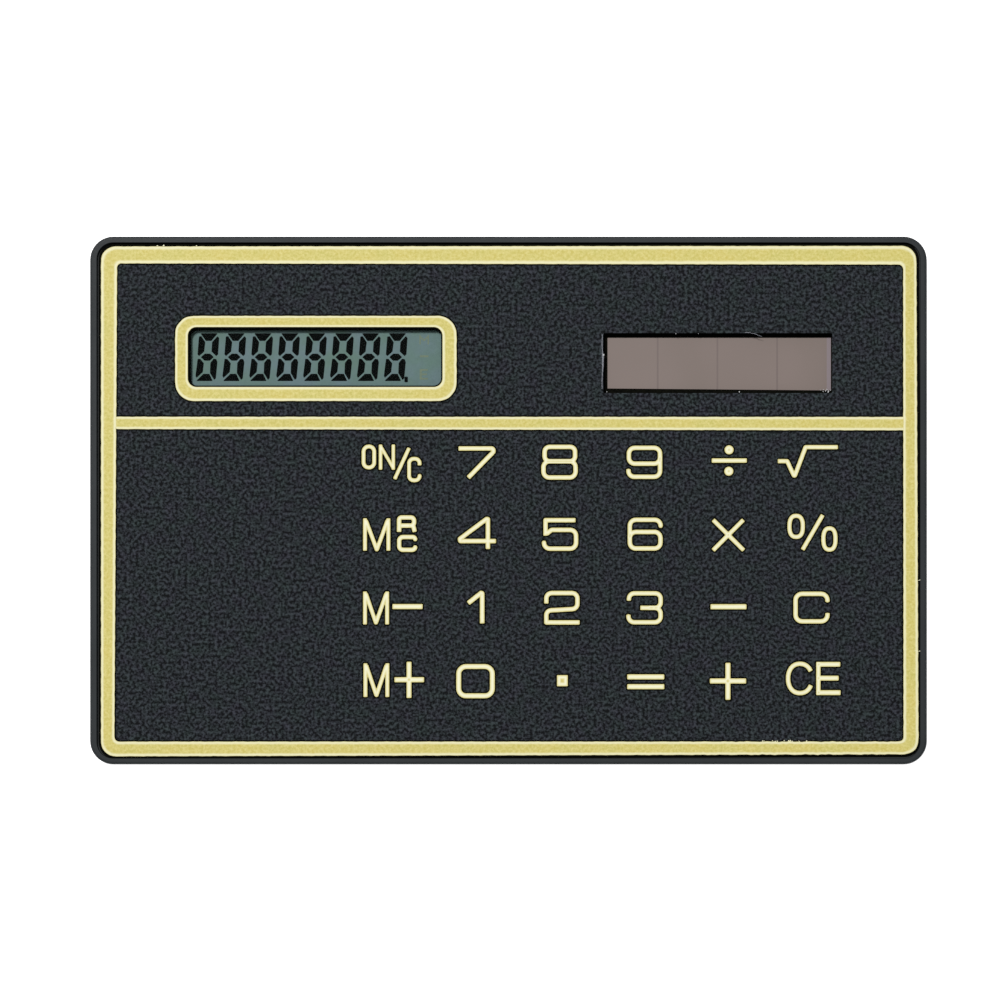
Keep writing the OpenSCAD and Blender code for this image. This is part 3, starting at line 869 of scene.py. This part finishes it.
# %% The 24 legends, in millimetres from each key's centre
LEGENDS = {
    "key_on_clear": [
        loop(-2.82, -1.73, -0.55, 1.60, 0.52, 0.39),
        post(-1.08, -0.78, 1.8, 0.36),
        post(0.22, -0.78, 1.8, 0.36),
        line([(-1.06, 1.6), (0.2, -0.58)], 0, 0.33),
        line([(1.84, 1.46), (0.36, -1.74)], 0, 0.37),
        line([(2.91, -0.33), (2.91, 0.34), (1.84, 0.34), (1.84, -1.86), (2.91, -1.86), (2.91, -1.37)],
             0.45, 0.39),
    ],
    "key_7": [line([(-1.72, 1.40), (1.86, 1.40), (1.86, 1.05), (-0.72, -1.6)], [0.22, 0.1])],
    "key_8": [loop(-1.50, 1.61, 0.09, 1.56, 0.5), loop(-1.62, 1.66, -1.57, 0.09, 0.6)],
    "key_9": [
        loop(-1.49, 1.70, -0.16, 1.46, 0.6),
        line([(1.70, 0.6), (1.70, -1.50), (-1.53, -1.50), (-1.53, -0.72)], 0.6),
    ],
    "key_divide": [
        bar(-1.62, 1.97, 0.16, 0.45),
        oval(0.16, 1.26, 0.23, 0.23, width=0.46),
        oval(0.13, -0.93, 0.23, 0.23, width=0.46),
    ],
    "key_root": [line([(-3.46, 0.1), (-2.5, 0.1), (-1.76, -1.5), (-0.62, 1.53), (2.68, 1.53)], 0.08, 0.43)],
    "key_memory_recall": [
        *letter_m(-2.67, -0.28, -1.62, 1.70, -1.46, -1.52),
        line([(0.82, 0.3), (0.82, 1.78), (2.35, 1.78), (2.35, 0.95), (0.9, 0.95)], [0.25, 0.35, 0.35]),
        line([(2.25, 0.98), (2.42, 0.3)]),
        line([(2.47, -0.5), (2.47, -0.22), (0.82, -0.22), (0.82, -1.53), (2.47, -1.53), (2.47, -1.2)],
             [0.28, 0.4, 0.4, 0.33], 0.44),
    ],
    "key_4": [line([(2.12, -0.63), (-1.52, -0.63), (-1.58, -0.42), (1.15, 1.62), (1.3, 1.62), (1.3, -1.45)],
                   [0.05, 0.05, 0.1, 0.05])],
    "key_5": [
        line([(1.66, 1.5), (-1.41, 1.5), (-1.41, -0.08)]),
        line([(-1.3, 0.1), (-0.8, 0.51), (1.71, 0.51), (1.71, -1.41), (-1.57, -1.41), (-1.57, -0.68)],
             [0.3, 0.6, 0.6, 0.6]),
    ],
    "key_6": [
        loop(-1.39, 1.74, -1.39, 0.30, 0.6),
        line([(-1.39, -0.4), (-1.39, 1.54), (1.76, 1.54), (1.76, 0.9)], 0.6),
    ],
    "key_times": [
        line([(-1.48, 1.54), (1.66, -1.58)], 0, 0.43),
        line([(1.62, 1.54), (-1.48, -1.58)], 0, 0.43),
    ],
    "key_percent": [
        oval(-1.585, 0.87, 0.685, 1.08, power=2.5, width=0.42),
        oval(1.82, -0.42, 0.62, 1.09, power=2.5, width=0.42),
        line([(1.14, 2.04), (-0.93, -1.52)], 0, 0.42),
    ],
    "key_memory_minus": [*letter_m(-2.67, -0.41, -1.72, 1.65, -1.55, -1.57), bar(0.13, 3.23, 0.11)],
    "key_1": [line([(0.71, -1.62), (0.71, 1.45), (0.6, 1.5), (-0.72, 0.45)], [0.05, 0.05], 0.47)],
    "key_2": [
        line([(-1.33, 0.42), (-1.33, 1.49), (1.85, 1.49), (1.85, -0.12), (-1.33, -0.30), (-1.33, -1.51),
              (2.08, -1.51)], [0.55, 0.55, 0.55, 0.5, 0]),
    ],
    "key_3": [
        line([(-1.48, 0.72), (-1.48, 1.46), (1.76, 1.46), (1.76, -0.02), (-0.32, -0.02)], 0.55),
        line([(0.5, -0.02), (1.76, -0.02), (1.76, -1.5), (-1.53, -1.5), (-1.53, -0.72)], 0.6),
    ],
    "key_minus": [bar(-1.74, 1.94, 0.09)],
    "key_clear": [
        line([(1.62, 0.6), (1.62, 1.41), (-1.64, 1.41), (-1.64, -1.40), (1.62, -1.40), (1.62, -0.55)], 0.65),
    ],
    "key_memory_plus": [
        *letter_m(-2.63, -0.39, -1.70, 1.75, -1.50, -1.54),
        bar(0.34, 3.37, 0.07, 0.52),
        post(1.83, -1.80, 1.91, 0.5),
    ],
    "key_0": [loop(-1.69, 1.75, -1.58, 1.42, 0.75, 0.5)],
    "key_point": [bar(-0.24, 0.86, -0.03, 1.14)],
    "key_equals": [bar(-1.66, 2.13, 0.36), bar(-1.66, 2.13, -0.64)],
    "key_plus": [bar(-1.81, 1.90, -0.06, 0.52), post(0.04, -1.99, 1.80, 0.52)],
    "key_clear_entry": [
        oval(-1.19, 0.2, 1.22, 1.5, 27, 335, 2.2),
        post(0.69, -1.50, 1.89),
        bar(0.5, 2.93, 1.64, 0.5),
        bar(0.5, 2.76, 0.23, 0.5),
        bar(0.5, 2.96, -1.25, 0.5),
    ],
}
print("legends:", len(LEGENDS), "strokes:", sum(len(s) for s in LEGENDS.values()))

# %% [markdown]
# ## From distance to mesh
# A fine triangle grid is laid over the key. Triangles wholly in the ink stay. Those that the edge
# crosses are cut where the distance, taken as even along each side, passes zero. The result is
# closed below and at the sides like the film. The black under the ink is 10 micrometres proud of
# the film and the gold 22, so that neither is lost in the other.

# %% Cut a shape out of a grid
LEAST_DISTANCE = 0.15


def cut_out(distance, low, high, step):
    """Triangles of the area where distance is negative. On a side from a to b the cut is at
    a + (b - a) x da / (da - db). A distance under LEAST_DISTANCE of a step is raised to it, so that
    no sliver is made."""
    xs = np.arange(low[0], high[0] + step, step)
    ys = np.arange(low[1], high[1] + step, step)
    points = np.stack(np.meshgrid(xs, ys), -1).reshape(-1, 2)
    d = distance(points)
    least = LEAST_DISTANCE * step
    d = np.where(np.abs(d) < least, np.copysign(least, d), d)
    row, n = len(xs), len(points)
    corner = (np.arange(len(ys) - 1)[:, None] * row + np.arange(row - 1)).ravel()
    lower = np.stack([corner, corner + 1, corner + row + 1], 1)
    upper = np.stack([corner, corner + row + 1, corner + row], 1)
    triangles = np.concatenate([lower, upper])
    inside = d[triangles] < 0
    count = inside.sum(1)
    cut = (count == 1) | (count == 2)
    odd = np.where(count == 1, inside.argmax(1), (~inside).argmax(1))[cut]
    turned = np.take_along_axis(triangles[cut], (odd[:, None] + np.arange(3)) % 3, 1)
    sides = np.stack([turned[:, [0, 1]], turned[:, [0, 2]]], 1).reshape(-1, 2)
    keys, which = np.unique(np.sort(sides, 1) @ [n, 1], return_inverse=True)
    a, b = keys // n, keys % n
    crossing = points[a] + (points[b] - points[a]) * (d[a] / (d[a] - d[b]))[:, None]
    c1, c2 = (n + which.reshape(-1, 2)).T
    one = count[cut] == 1
    t0, t1, t2 = turned.T
    faces = [
        triangles[count == 3],
        np.stack([t0, c1, c2], 1)[one],
        np.stack([c1, t1, t2], 1)[~one],
        np.stack([c1, t2, c2], 1)[~one],
    ]
    return np.concatenate([points, crossing]), np.concatenate(faces)


disc = cut_out(lambda points: np.linalg.norm(points, axis=1) - 1, (-1.2, -1.2), (1.2, 1.2), 0.1)
print("triangles in a disc:", len(disc[1]))

# %% Print the legends
TRAP_LOW, TRAP_HIGH = FILM_TOP - 0.01, FILM_TOP + 0.01
INK_LOW, INK_HIGH = FILM_TOP, FILM_TOP + 0.022
TRAP_WIDTH = 0.15
LEGEND_STEP = 0.08
HIGHLIGHT_RISE = 0.19
HIGHLIGHT_END = 0.45


def set_edge(piece, share):
    """Stores the "edge" share at each point, which the gold's finish turns to cream: on legends and bands a
    painted highlight near the ink's edges, 0 in the core.
    """
    field = piece.data.attributes.new("edge", "FLOAT", "POINT")
    field.data.foreach_set("value", np.asarray(share, np.float32))


def legend_pair(node):
    """The legend's strokes about the key's centre, and the same strokes TRAP_WIDTH wider. Depths
    in the ink add up where strokes cross, so that a crossing stays plain gold, without the painted highlight."""
    centre = key_centre(node)
    reach = KEY_HALF - 0.02

    def strokes(points):
        return np.array([stroke_distance(points - centre, *s) for s in LEGENDS[node]])

    def ink(points):
        return strokes(points).min(0)

    def wider(points):
        return ink(points) - TRAP_WIDTH

    box = centre - reach, centre + reach
    points, triangles = cut_out(ink, *box, LEGEND_STEP)
    shape = thicken(points, triangles, INK_LOW, INK_HIGH)
    front = new_piece(node + "_legend", shape, gold, None)
    used = np.unique(triangles)
    depth = np.maximum(-strokes(points[used]), 0).sum(0)
    # Painted highlight: the share rises from 0 at the ink's edge to 1 at HIGHLIGHT_RISE deep, and is gone
    # again at HIGHLIGHT_END.
    share = np.clip(depth / HIGHLIGHT_RISE, 0, 1) * np.clip((HIGHLIGHT_END - depth) / HIGHLIGHT_RISE, 0, 1)
    set_edge(front, np.tile(share, 2))
    under = thicken(*cut_out(wider, *box, LEGEND_STEP), TRAP_LOW, TRAP_HIGH)
    return front, new_piece(node + "_trap", under, trap, None)


for node in KEY_NODES:
    for piece in legend_pair(node):
        flex(piece)
print("last legend's triangles:", len(piece.data.polygons))

# %% [markdown]
# ## Gold border, divider and display frame
# These are printed with the legends. A printed edge wanders by a few hundredths of a millimetre,
# more along the bottom, where the screen lifted unevenly. Two outlines with as many points as
# each other make a band, and the divider is a band cut open: a long thin rectangle.

# %% Bands of gold
WANDER = 0.02
ROUGH_CORNER = (30, -25.4)
ROUGH_REACH = 9.0
BAND_SHARES = (0, 0.09, 0.23, 0.77, 0.91, 1)
# Share of painted highlight on each of the BAND_SHARES lines: cream near both sides of a band.
BAND_HIGHLIGHT = (0.3, 0.8, 0, 0, 0.8, 0.3)


def wander(outline):
    """Moves each point sideways by WANDER x (sin(2.9 x + 3.7 y) + sin(7.3 x - 6.1 y + 2)) / 2, and
    up to three times as far near ROUGH_CORNER, where the screen dragged."""
    x, y = outline.T
    away = np.hypot(x - ROUGH_CORNER[0], 4 * (y - ROUGH_CORNER[1])) / ROUGH_REACH
    size = WANDER * (1 + 2 * np.exp(-(away**2)))
    shift = size * (np.sin(2.9 * x + 3.7 * y) + np.sin(7.3 * x - 6.1 * y + 2)) / 2
    return outline + np.stack([shift, -shift], 1)


def band_shape(left, right, shares, closed, low, high):
    """A solid band between two lines with as many points: lines of points at these shares of the
    way from one to the other, joined by triangles and thickened."""
    n = len(left)
    points = np.concatenate([left * (1 - s) + right * s for s in shares])
    k = np.arange(n if closed else n - 1)
    ahead = (k + 1) % n
    row = np.arange(len(shares) - 1)[:, None] * n
    here, there = (row + k).ravel(), (row + ahead).ravel()
    triangles = [np.stack([here, there, there + n], 1), np.stack([here, there + n, here + n], 1)]
    return thicken(points, np.concatenate(triangles), low, high)


def print_band(name, left, right, closed, lift=0.0):
    """Gold between two lines, with a painted highlight in cream near both sides, over a wider band of black.
    """
    shape = band_shape(left, right, BAND_SHARES, closed, INK_LOW, INK_HIGH + lift)
    piece = new_piece("gold_" + name, shape, gold)
    set_edge(piece, np.tile(np.repeat(BAND_HIGHLIGHT, len(left)), 2))
    width = np.linalg.norm(right - left, axis=1, keepdims=True)
    beyond = (right - left) / width * TRAP_WIDTH
    under = band_shape(left - beyond, right + beyond, (0, 1), closed, TRAP_LOW, TRAP_HIGH + lift / 2)
    new_piece("trap_" + name, under, trap)


print("gold stands proud, mm:", round(INK_HIGH - FILM_TOP, 3), "and black:", round(TRAP_HIGH - FILM_TOP, 3))

# %% Print them
EDGE_POINTS = 200
GOLD_OUTER = [(41.7, 26.03), (-41.66, 25.97), (-41.66, -26.17), (41.93, -25.95)]
BORDER_INNER = [(40.36, 24.12), (-40.02, 24.24), (-40.3, -24.66), (40.4, -24.66)]
outer_edge = wander(rounded(GOLD_OUTER, FILM_RADIUS, steps=12, along=EDGE_POINTS))
inner_edge = wander(rounded(BORDER_INNER, 0.5, steps=12, along=EDGE_POINTS))
print_band("border", outer_edge, inner_edge, True)

DIVIDER_X = (-40.1, 40.4)
DIVIDER_TOP = (8.56, 8.54)
DIVIDER_LOW = (7.30, 7.17)
DIVIDER_SINK = -0.002


def divider_edge(heights):
    """Points along one side of the divider, which falls a little to the right."""
    return wander(np.linspace((DIVIDER_X[0], heights[0]), (DIVIDER_X[1], heights[1]), EDGE_POINTS))


print_band("divider", divider_edge(DIVIDER_TOP), divider_edge(DIVIDER_LOW), False, DIVIDER_SINK)

FRAME_OUTER = [(-5.31, 18.87), (-34.08, 18.87), (-34.08, 10.17), (-5.31, 10.17)]
frame_outer = wander(rounded(FRAME_OUTER, 1.9, steps=16, along=60))
frame_inner = round_rectangle(VIEW_CENTRE, *VIEW_HALF, VIEW_RADIUS, steps=16, along=60)
print_band("display_frame", frame_outer, frame_inner, True)
print("bands printed")

# %% [markdown]
# ## Painted shade round the film and in the windows
# A black band in the groove round the film is painted shade: it darkens the narrow gap between film
# and rim, where the shadow lies. In each window a black mask lies on the glass and covers the cut
# edges of the opening in the case. It is wider above and to the left, where it is painted shade for the
# lamp's shadow.

# %% Painted shade in the groove, and masks
def ring(outer_corners, outer_radius, inner_corners, inner_radius, low, high):
    """A flat ring between two outlines with round corners."""
    outer = rounded(outer_corners, outer_radius, steps=12, along=20)
    inner = rounded(inner_corners, inner_radius, steps=12, along=20)
    return band_shape(outer, inner, (0, 1), True, low, high)


def box_corners(right, top, left, bottom):
    """The corners of a rectangle, anticlockwise from the top right."""
    return [(right, top), (left, top), (left, bottom), (right, bottom)]


# Painted shade: black in the groove round the film, where the gap between film and rim lies in shadow.
painted_shade_black = trap_black("black_painted_shade")
GROOVE_SHADE_OUT, GROOVE_SHADE_IN = 0.29, 0.02
GROOVE_SHADE_SINK, GROOVE_SHADE_RISE = 0.01, 0.04
groove_z = box_mm("film_adhesive")[0][2]
out_signs = np.array(box_corners(1, 1, -1, -1))
groove_outer = FILM_CORNERS + GROOVE_SHADE_OUT * out_signs
groove_inner = FILM_CORNERS + GROOVE_SHADE_IN * out_signs
groove_shade = ring(groove_outer, FILM_RADIUS + GROOVE_SHADE_OUT, groove_inner, FILM_RADIUS,
            groove_z - GROOVE_SHADE_SINK, groove_z + GROOVE_SHADE_RISE)
new_piece("groove_painted_shade", groove_shade, painted_shade_black)

well_z = box_mm("solar_glass")[1][2]
MASK_SINK, MASK_RISE = 0.005, 0.02
VIEW_TUCK, SUN_TUCK = 0.12, 0.2
VIEW_MASK_RADIUS, SUN_MASK_RADIUS = 0.75, 0.05
# The outline that each mask leaves open. The mask is black print and also painted shade: widest above and to
# the left, where the lamp's shadow falls, thin below and to the right.
VIEW_SHOWN = (-0.1, -0.3, 0.2, 0.12)
SUN_SHOWN = [(33.1, 16.7), (10.17, 16.7), (10.17, 11.46), (33.1, 11.2)]


def mask(name, centre, half, tuck, outer_radius, shown, inner_radius):
    """A black mask from tuck beyond the window's edge, out of sight, to the outline that is shown. Its wider
    sides are painted shade, dark where the lamp's shadow falls.
    """
    hidden = box_corners(*(centre + half + tuck), *(centre - half - tuck))
    shape = ring(hidden, outer_radius, shown, inner_radius, well_z - MASK_SINK, well_z + MASK_RISE)
    new_piece(name, shape, painted_shade_black)


view_edges = np.concatenate([VIEW_CENTRE + VIEW_HALF, VIEW_CENTRE - VIEW_HALF])
mask("display_mask_and_shade", VIEW_CENTRE, VIEW_HALF, VIEW_TUCK, VIEW_RADIUS + 0.1,
     box_corners(*(view_edges + VIEW_SHOWN)), VIEW_MASK_RADIUS)
mask("solar_mask_and_shade", SUN_CENTRE, SUN_HALF, SUN_TUCK, SUN_TUCK, SUN_SHOWN, SUN_MASK_RADIUS)
print("cement and masks made")

# %% [markdown]
# ## Burrs
# The windows are punched, and the punch leaves a pale curl of film along the left side, a few
# flakes in the corners and one loose fibre. Three more flakes sit on the film's top edge, and two
# threads of gold hang over its right edge. Each is a tube whose radius changes along its path.

# %% Burrs
CURLS = [
    [(9.6, 17.0, 0.03), (9.57, 16.1, 0.06), (9.6, 15.3, 0.04), (9.66, 14.6, 0.1), (9.65, 13.7, 0.09),
     (9.6, 13.0, 0.05), (9.57, 12.2, 0.06), (9.58, 11.4, 0.03)],
    [(24.2, 17.18, 0.02), (24.5, 17.16, 0.05), (24.8, 17.2, 0.02)],
    [(24.8, 17.1, 0.02), (25.2, 17.05, 0.035), (25.5, 16.9, 0.02), (25.9, 16.78, 0.02)],
]
TUBE_SIDES = 7


def strand(route, height):
    """A tube along a level route: each ring is radius x (side x cos a + up x sin a)."""
    x, y, radius = np.array(route).T
    way = np.stack([np.gradient(x), np.gradient(y)], 1)
    way /= np.linalg.norm(way, axis=1, keepdims=True)
    a = np.linspace(0, 2 * math.pi, TUBE_SIDES, endpoint=False)
    out = radius[:, None] * np.cos(a)
    rings = [x[:, None] - way[:, 1:] * out, y[:, None] + way[:, :1] * out]
    rings.append(height + radius[:, None] * np.sin(a))
    return stack(np.stack(rings, -1))


def flake(middle, size, turn):
    """A speck: a short bent strand whose radius swells to size in the middle."""
    step = np.array([-1, -0.4, 0.4, 1]) * size
    x = middle[0] + step * np.cos(turn)
    y = middle[1] + step * np.sin(turn) + size * np.array([0, 0.3, 0.3, 0])
    return strand(np.stack([x, y, size * np.array([0.25, 0.8, 0.7, 0.25])], 1), FILM_TOP)


def join(shapes):
    """Several solids as one: each one's faces count on from the points before them."""
    starts = np.cumsum([0] + [len(points) for points, _ in shapes[:-1]])
    points = np.concatenate([points for points, _ in shapes])
    return points, np.concatenate([faces + s for s, (_, faces) in zip(starts, shapes)])


def strewn(low, high, count, smallest, largest):
    """Flakes strewn evenly over a box, of sizes between the two, turned every way."""
    spots = random.uniform(low, high, (count, 2))
    sizes = random.uniform(smallest, largest, count)
    return [flake(spot, size, turn) for spot, size, turn in zip(spots, sizes, random.uniform(0, 6, count))]


random = np.random.default_rng(SEED)
FLAKES = [((9.74, 14.86), 0.12), ((9.72, 14.62), 0.07), ((10.08, 11.1), 0.06), ((17.12, 17.06), 0.05),
          ((19.42, 17.05), 0.045), ((23.62, 11.1), 0.07)]
pale_flakes = [flake(spot, size, 1.4) for spot, size in FLAKES]
pale_flakes += strewn((31.9, 11.0), (32.95, 11.35), 9, 0.04, 0.09)
dull = matt_grained("polyester_curl_dull", "#63666e", "#9a9da6", 0.2, 0.6, 0.01)
bright = matt_grained("polyester_flake_pale", "#9b9ea2", "#dcdddc", 0.2, 0.6, 0.01)
new_piece("window_curls", join([strand(route, FILM_TOP) for route in CURLS]), dull)
new_piece("window_flakes", join(pale_flakes), bright)

GOLD_FLAKES = [((-35.9, 26.03), 0.08), ((-35.25, 26.04), 0.1), ((-31.9, 26.02), 0.07)]
GOLD_BURRS = [
    [(41.7, -8.2, 0.02), (41.95, -8.17, 0.02), (42.15, -8.12, 0.05), (42.3, -8.08, 0.03)],
    [(41.5, -15.38, 0.03), (41.95, -15.42, 0.02), (42.12, -15.4, 0.05), (42.28, -15.33, 0.03)],
]
gold_flakes = [flake(spot, size, 0.1) for spot, size in GOLD_FLAKES]
gold_flakes += [strand(route, FILM_TOP) for route in GOLD_BURRS]
gold_flakes += strewn((25.7, -24.66), (30.6, -24.56), 14, 0.04, 0.08)
specks = new_piece("gold_flakes", join(gold_flakes), gold)
set_edge(specks, np.ones(len(specks.data.vertices)))
print("flakes:", len(pale_flakes) + len(gold_flakes))

# %% [markdown]
# ## Display segments
# All eight digits are on, and one decimal point. The seven segments of a digit are small facets
# with mitred ends, leaning a little to the right. One digit is described, then repeated at the
# digit pitch. They lie on the polariser as a very thin layer.

# %% Segments
def grown(corners, by):
    """Every side of an anticlockwise polygon moved outwards: a corner between sides with normals
    n1 and n2 moves by x (n1 + n2) / (1 + n1.n2)."""
    p = np.array(corners, float)
    way = np.roll(p, -1, 0) - p
    normal = np.stack([way[:, 1], -way[:, 0]], 1) / np.linalg.norm(way, axis=1, keepdims=True)
    if across(p, np.roll(p, -1, 0)).sum() < 0:
        normal = -normal
    before = np.roll(normal, 1, 0)
    return p + by * (before + normal) / (1 + (before * normal).sum(1))[:, None]


SEGMENTS = [
    [(-0.84, 2.42), (0.82, 2.42), (0.27, 1.70), (-0.27, 1.70)],
    [(-1.00, 2.09), (-0.80, 2.12), (-0.36, 1.52), (-0.40, 0.59), (-0.85, 0.15), (-1.00, 0.30)],
    [(0.88, 2.12), (1.03, 1.95), (1.05, 0.30), (0.91, 0.15), (0.41, 0.59), (0.40, 1.54)],
    [(-0.62, 0.0), (-0.27, 0.33), (0.24, 0.33), (0.62, 0.0), (0.26, -0.33), (-0.24, -0.33)],
    [(-0.95, -0.20), (-0.72, -0.21), (-0.34, -0.64), (-0.37, -1.52), (-0.94, -2.09), (-1.03, -1.90)],
    [(0.66, -0.20), (0.92, -0.23), (1.05, -0.52), (1.02, -2.15), (0.90, -2.30), (0.43, -1.62), (0.39, -0.61)],
    [(-0.90, -2.42), (-0.25, -1.74), (0.32, -1.74), (0.70, -2.42)],
]
DIGITS = 8
SEGMENT_GROW = 0.03
DIGIT_FIRST = (-30.91, 14.71)
DIGIT_PITCH = 2.762
DIGIT_LEAN = 0.08
POINT_CENTRE = (-10.50, 12.42)
POINT_HALF = (0.18, 0.29)


def digit_outlines():
    """The outlines of every segment: x goes right by DIGIT_LEAN x y, then by the digit's pitch."""
    outlines = []
    for i in range(DIGITS):
        for segment in SEGMENTS:
            shape = rounded(grown(segment, SEGMENT_GROW), 0.05, steps=2)
            shape[:, 0] += DIGIT_LEAN * shape[:, 1] + i * DIGIT_PITCH
            outlines.append(shape + DIGIT_FIRST)
    return outlines + [round_rectangle(POINT_CENTRE, *POINT_HALF, 0.08, steps=2)]


lcd_top = box_mm("lcd_front_polariser")[1][2]
LCD_LOW, LCD_HIGH = lcd_top - 0.01, lcd_top + 0.004
segments = thicken(*fill(digit_outlines()), LCD_LOW, LCD_HIGH)
new_piece("lcd_segments", segments, dark_crystal)
print("segments:", DIGITS * len(SEGMENTS), "and a point")

# %% Unlit signs
SIGNS_AT = np.array([-8.65, 14.7])
SIGNS_REACH = (0.8, 2.7)
SIGNS_STEP = 0.07
SIGNS = [*letter_m(-0.42, 0.42, 1.3, 2.3, 0, 1.7, 0.15), bar(-0.45, 0.45, 0.1, 0.2)]
SIGNS += [post(-0.35, -2.3, -1.2, 0.2), bar(-0.4, 0.4, -1.3, 0.18), bar(-0.4, 0.3, -1.75, 0.18)]
SIGNS += [bar(-0.4, 0.4, -2.2, 0.18)]


def sign_ink(points):
    """Distance to the nearest of the small signs' strokes."""
    return np.min([stroke_distance(points - SIGNS_AT, *s) for s in SIGNS], 0)


signs = cut_out(sign_ink, SIGNS_AT - SIGNS_REACH, SIGNS_AT + SIGNS_REACH, SIGNS_STEP)
unlit = matt_grained("liquid_crystal_unlit", "#6c8068", "#74876b", 0.8, 0.45, 0.002)
new_piece("lcd_unlit_signs", thicken(*signs, LCD_LOW, LCD_HIGH), unlit)
print("strokes in the unlit signs:", len(SIGNS))

# %% [markdown]
# ## Floor and light
# A white floor, a large soft lamp from the upper left, and an even white surround. The floor also
# glows a little, so the ground stays plain white and the object's own shadow hardly shows.

# %% Floor
FLOOR_HALF = 1.5
FLOOR_Z = -0.00002
FLOOR_GLOW = 0.95


def paper_white():
    """White paper that glows a little, with cloudy fibres 3 mm across."""
    glow = {"Emission_Color": (1, 1, 1, 1), "Emission_Strength": FLOOR_GLOW}
    return grained("paper_white", "#fafafa", "#ffffff", 3, Roughness=0.9, Specular_IOR_Level=0.1, **glow)


def make_floor():
    """A white sheet a hair below the object."""
    mesh = bpy.data.meshes.new("floor")
    corners = box_corners(FLOOR_HALF, FLOOR_HALF, -FLOOR_HALF, -FLOOR_HALF)
    mesh.from_pydata([(x, y, FLOOR_Z) for x, y in corners], [], [(0, 1, 2, 3)])
    mesh.materials.append(paper_white())
    floor = bpy.data.objects.new("floor", mesh)
    bpy.context.scene.collection.objects.link(floor)


make_floor()
print("floor's side, m:", 2 * FLOOR_HALF)

# %% Lights
LAMP_FROM = Vector((-0.26, 0.42, 1.1)).normalized()
LAMP_DISTANCE = 1.4
LAMP_SIZE = 0.18
LAMP_POWER = 15.8
SURROUND = 0.2


def make_lamp():
    """A square soft box that looks at the origin."""
    light = bpy.data.lights.new("key_lamp", "AREA")
    light.size = LAMP_SIZE
    light.energy = LAMP_POWER
    lamp = bpy.data.objects.new("key_lamp", light)
    bpy.context.scene.collection.objects.link(lamp)
    lamp.location = LAMP_FROM * LAMP_DISTANCE
    lamp.rotation_euler = LAMP_FROM.to_track_quat("Z", "Y").to_euler()


def make_surround():
    """An even white surround."""
    world = bpy.data.worlds.new("surround")
    world.use_nodes = True
    background = world.node_tree.nodes["Background"].inputs
    background["Color"].default_value = (1, 1, 1, 1)
    background["Strength"].default_value = SURROUND
    bpy.context.scene.world = world


make_lamp()
make_surround()
bpy.context.scene.view_settings.view_transform = "Standard"
print("lamp power, W:", LAMP_POWER)
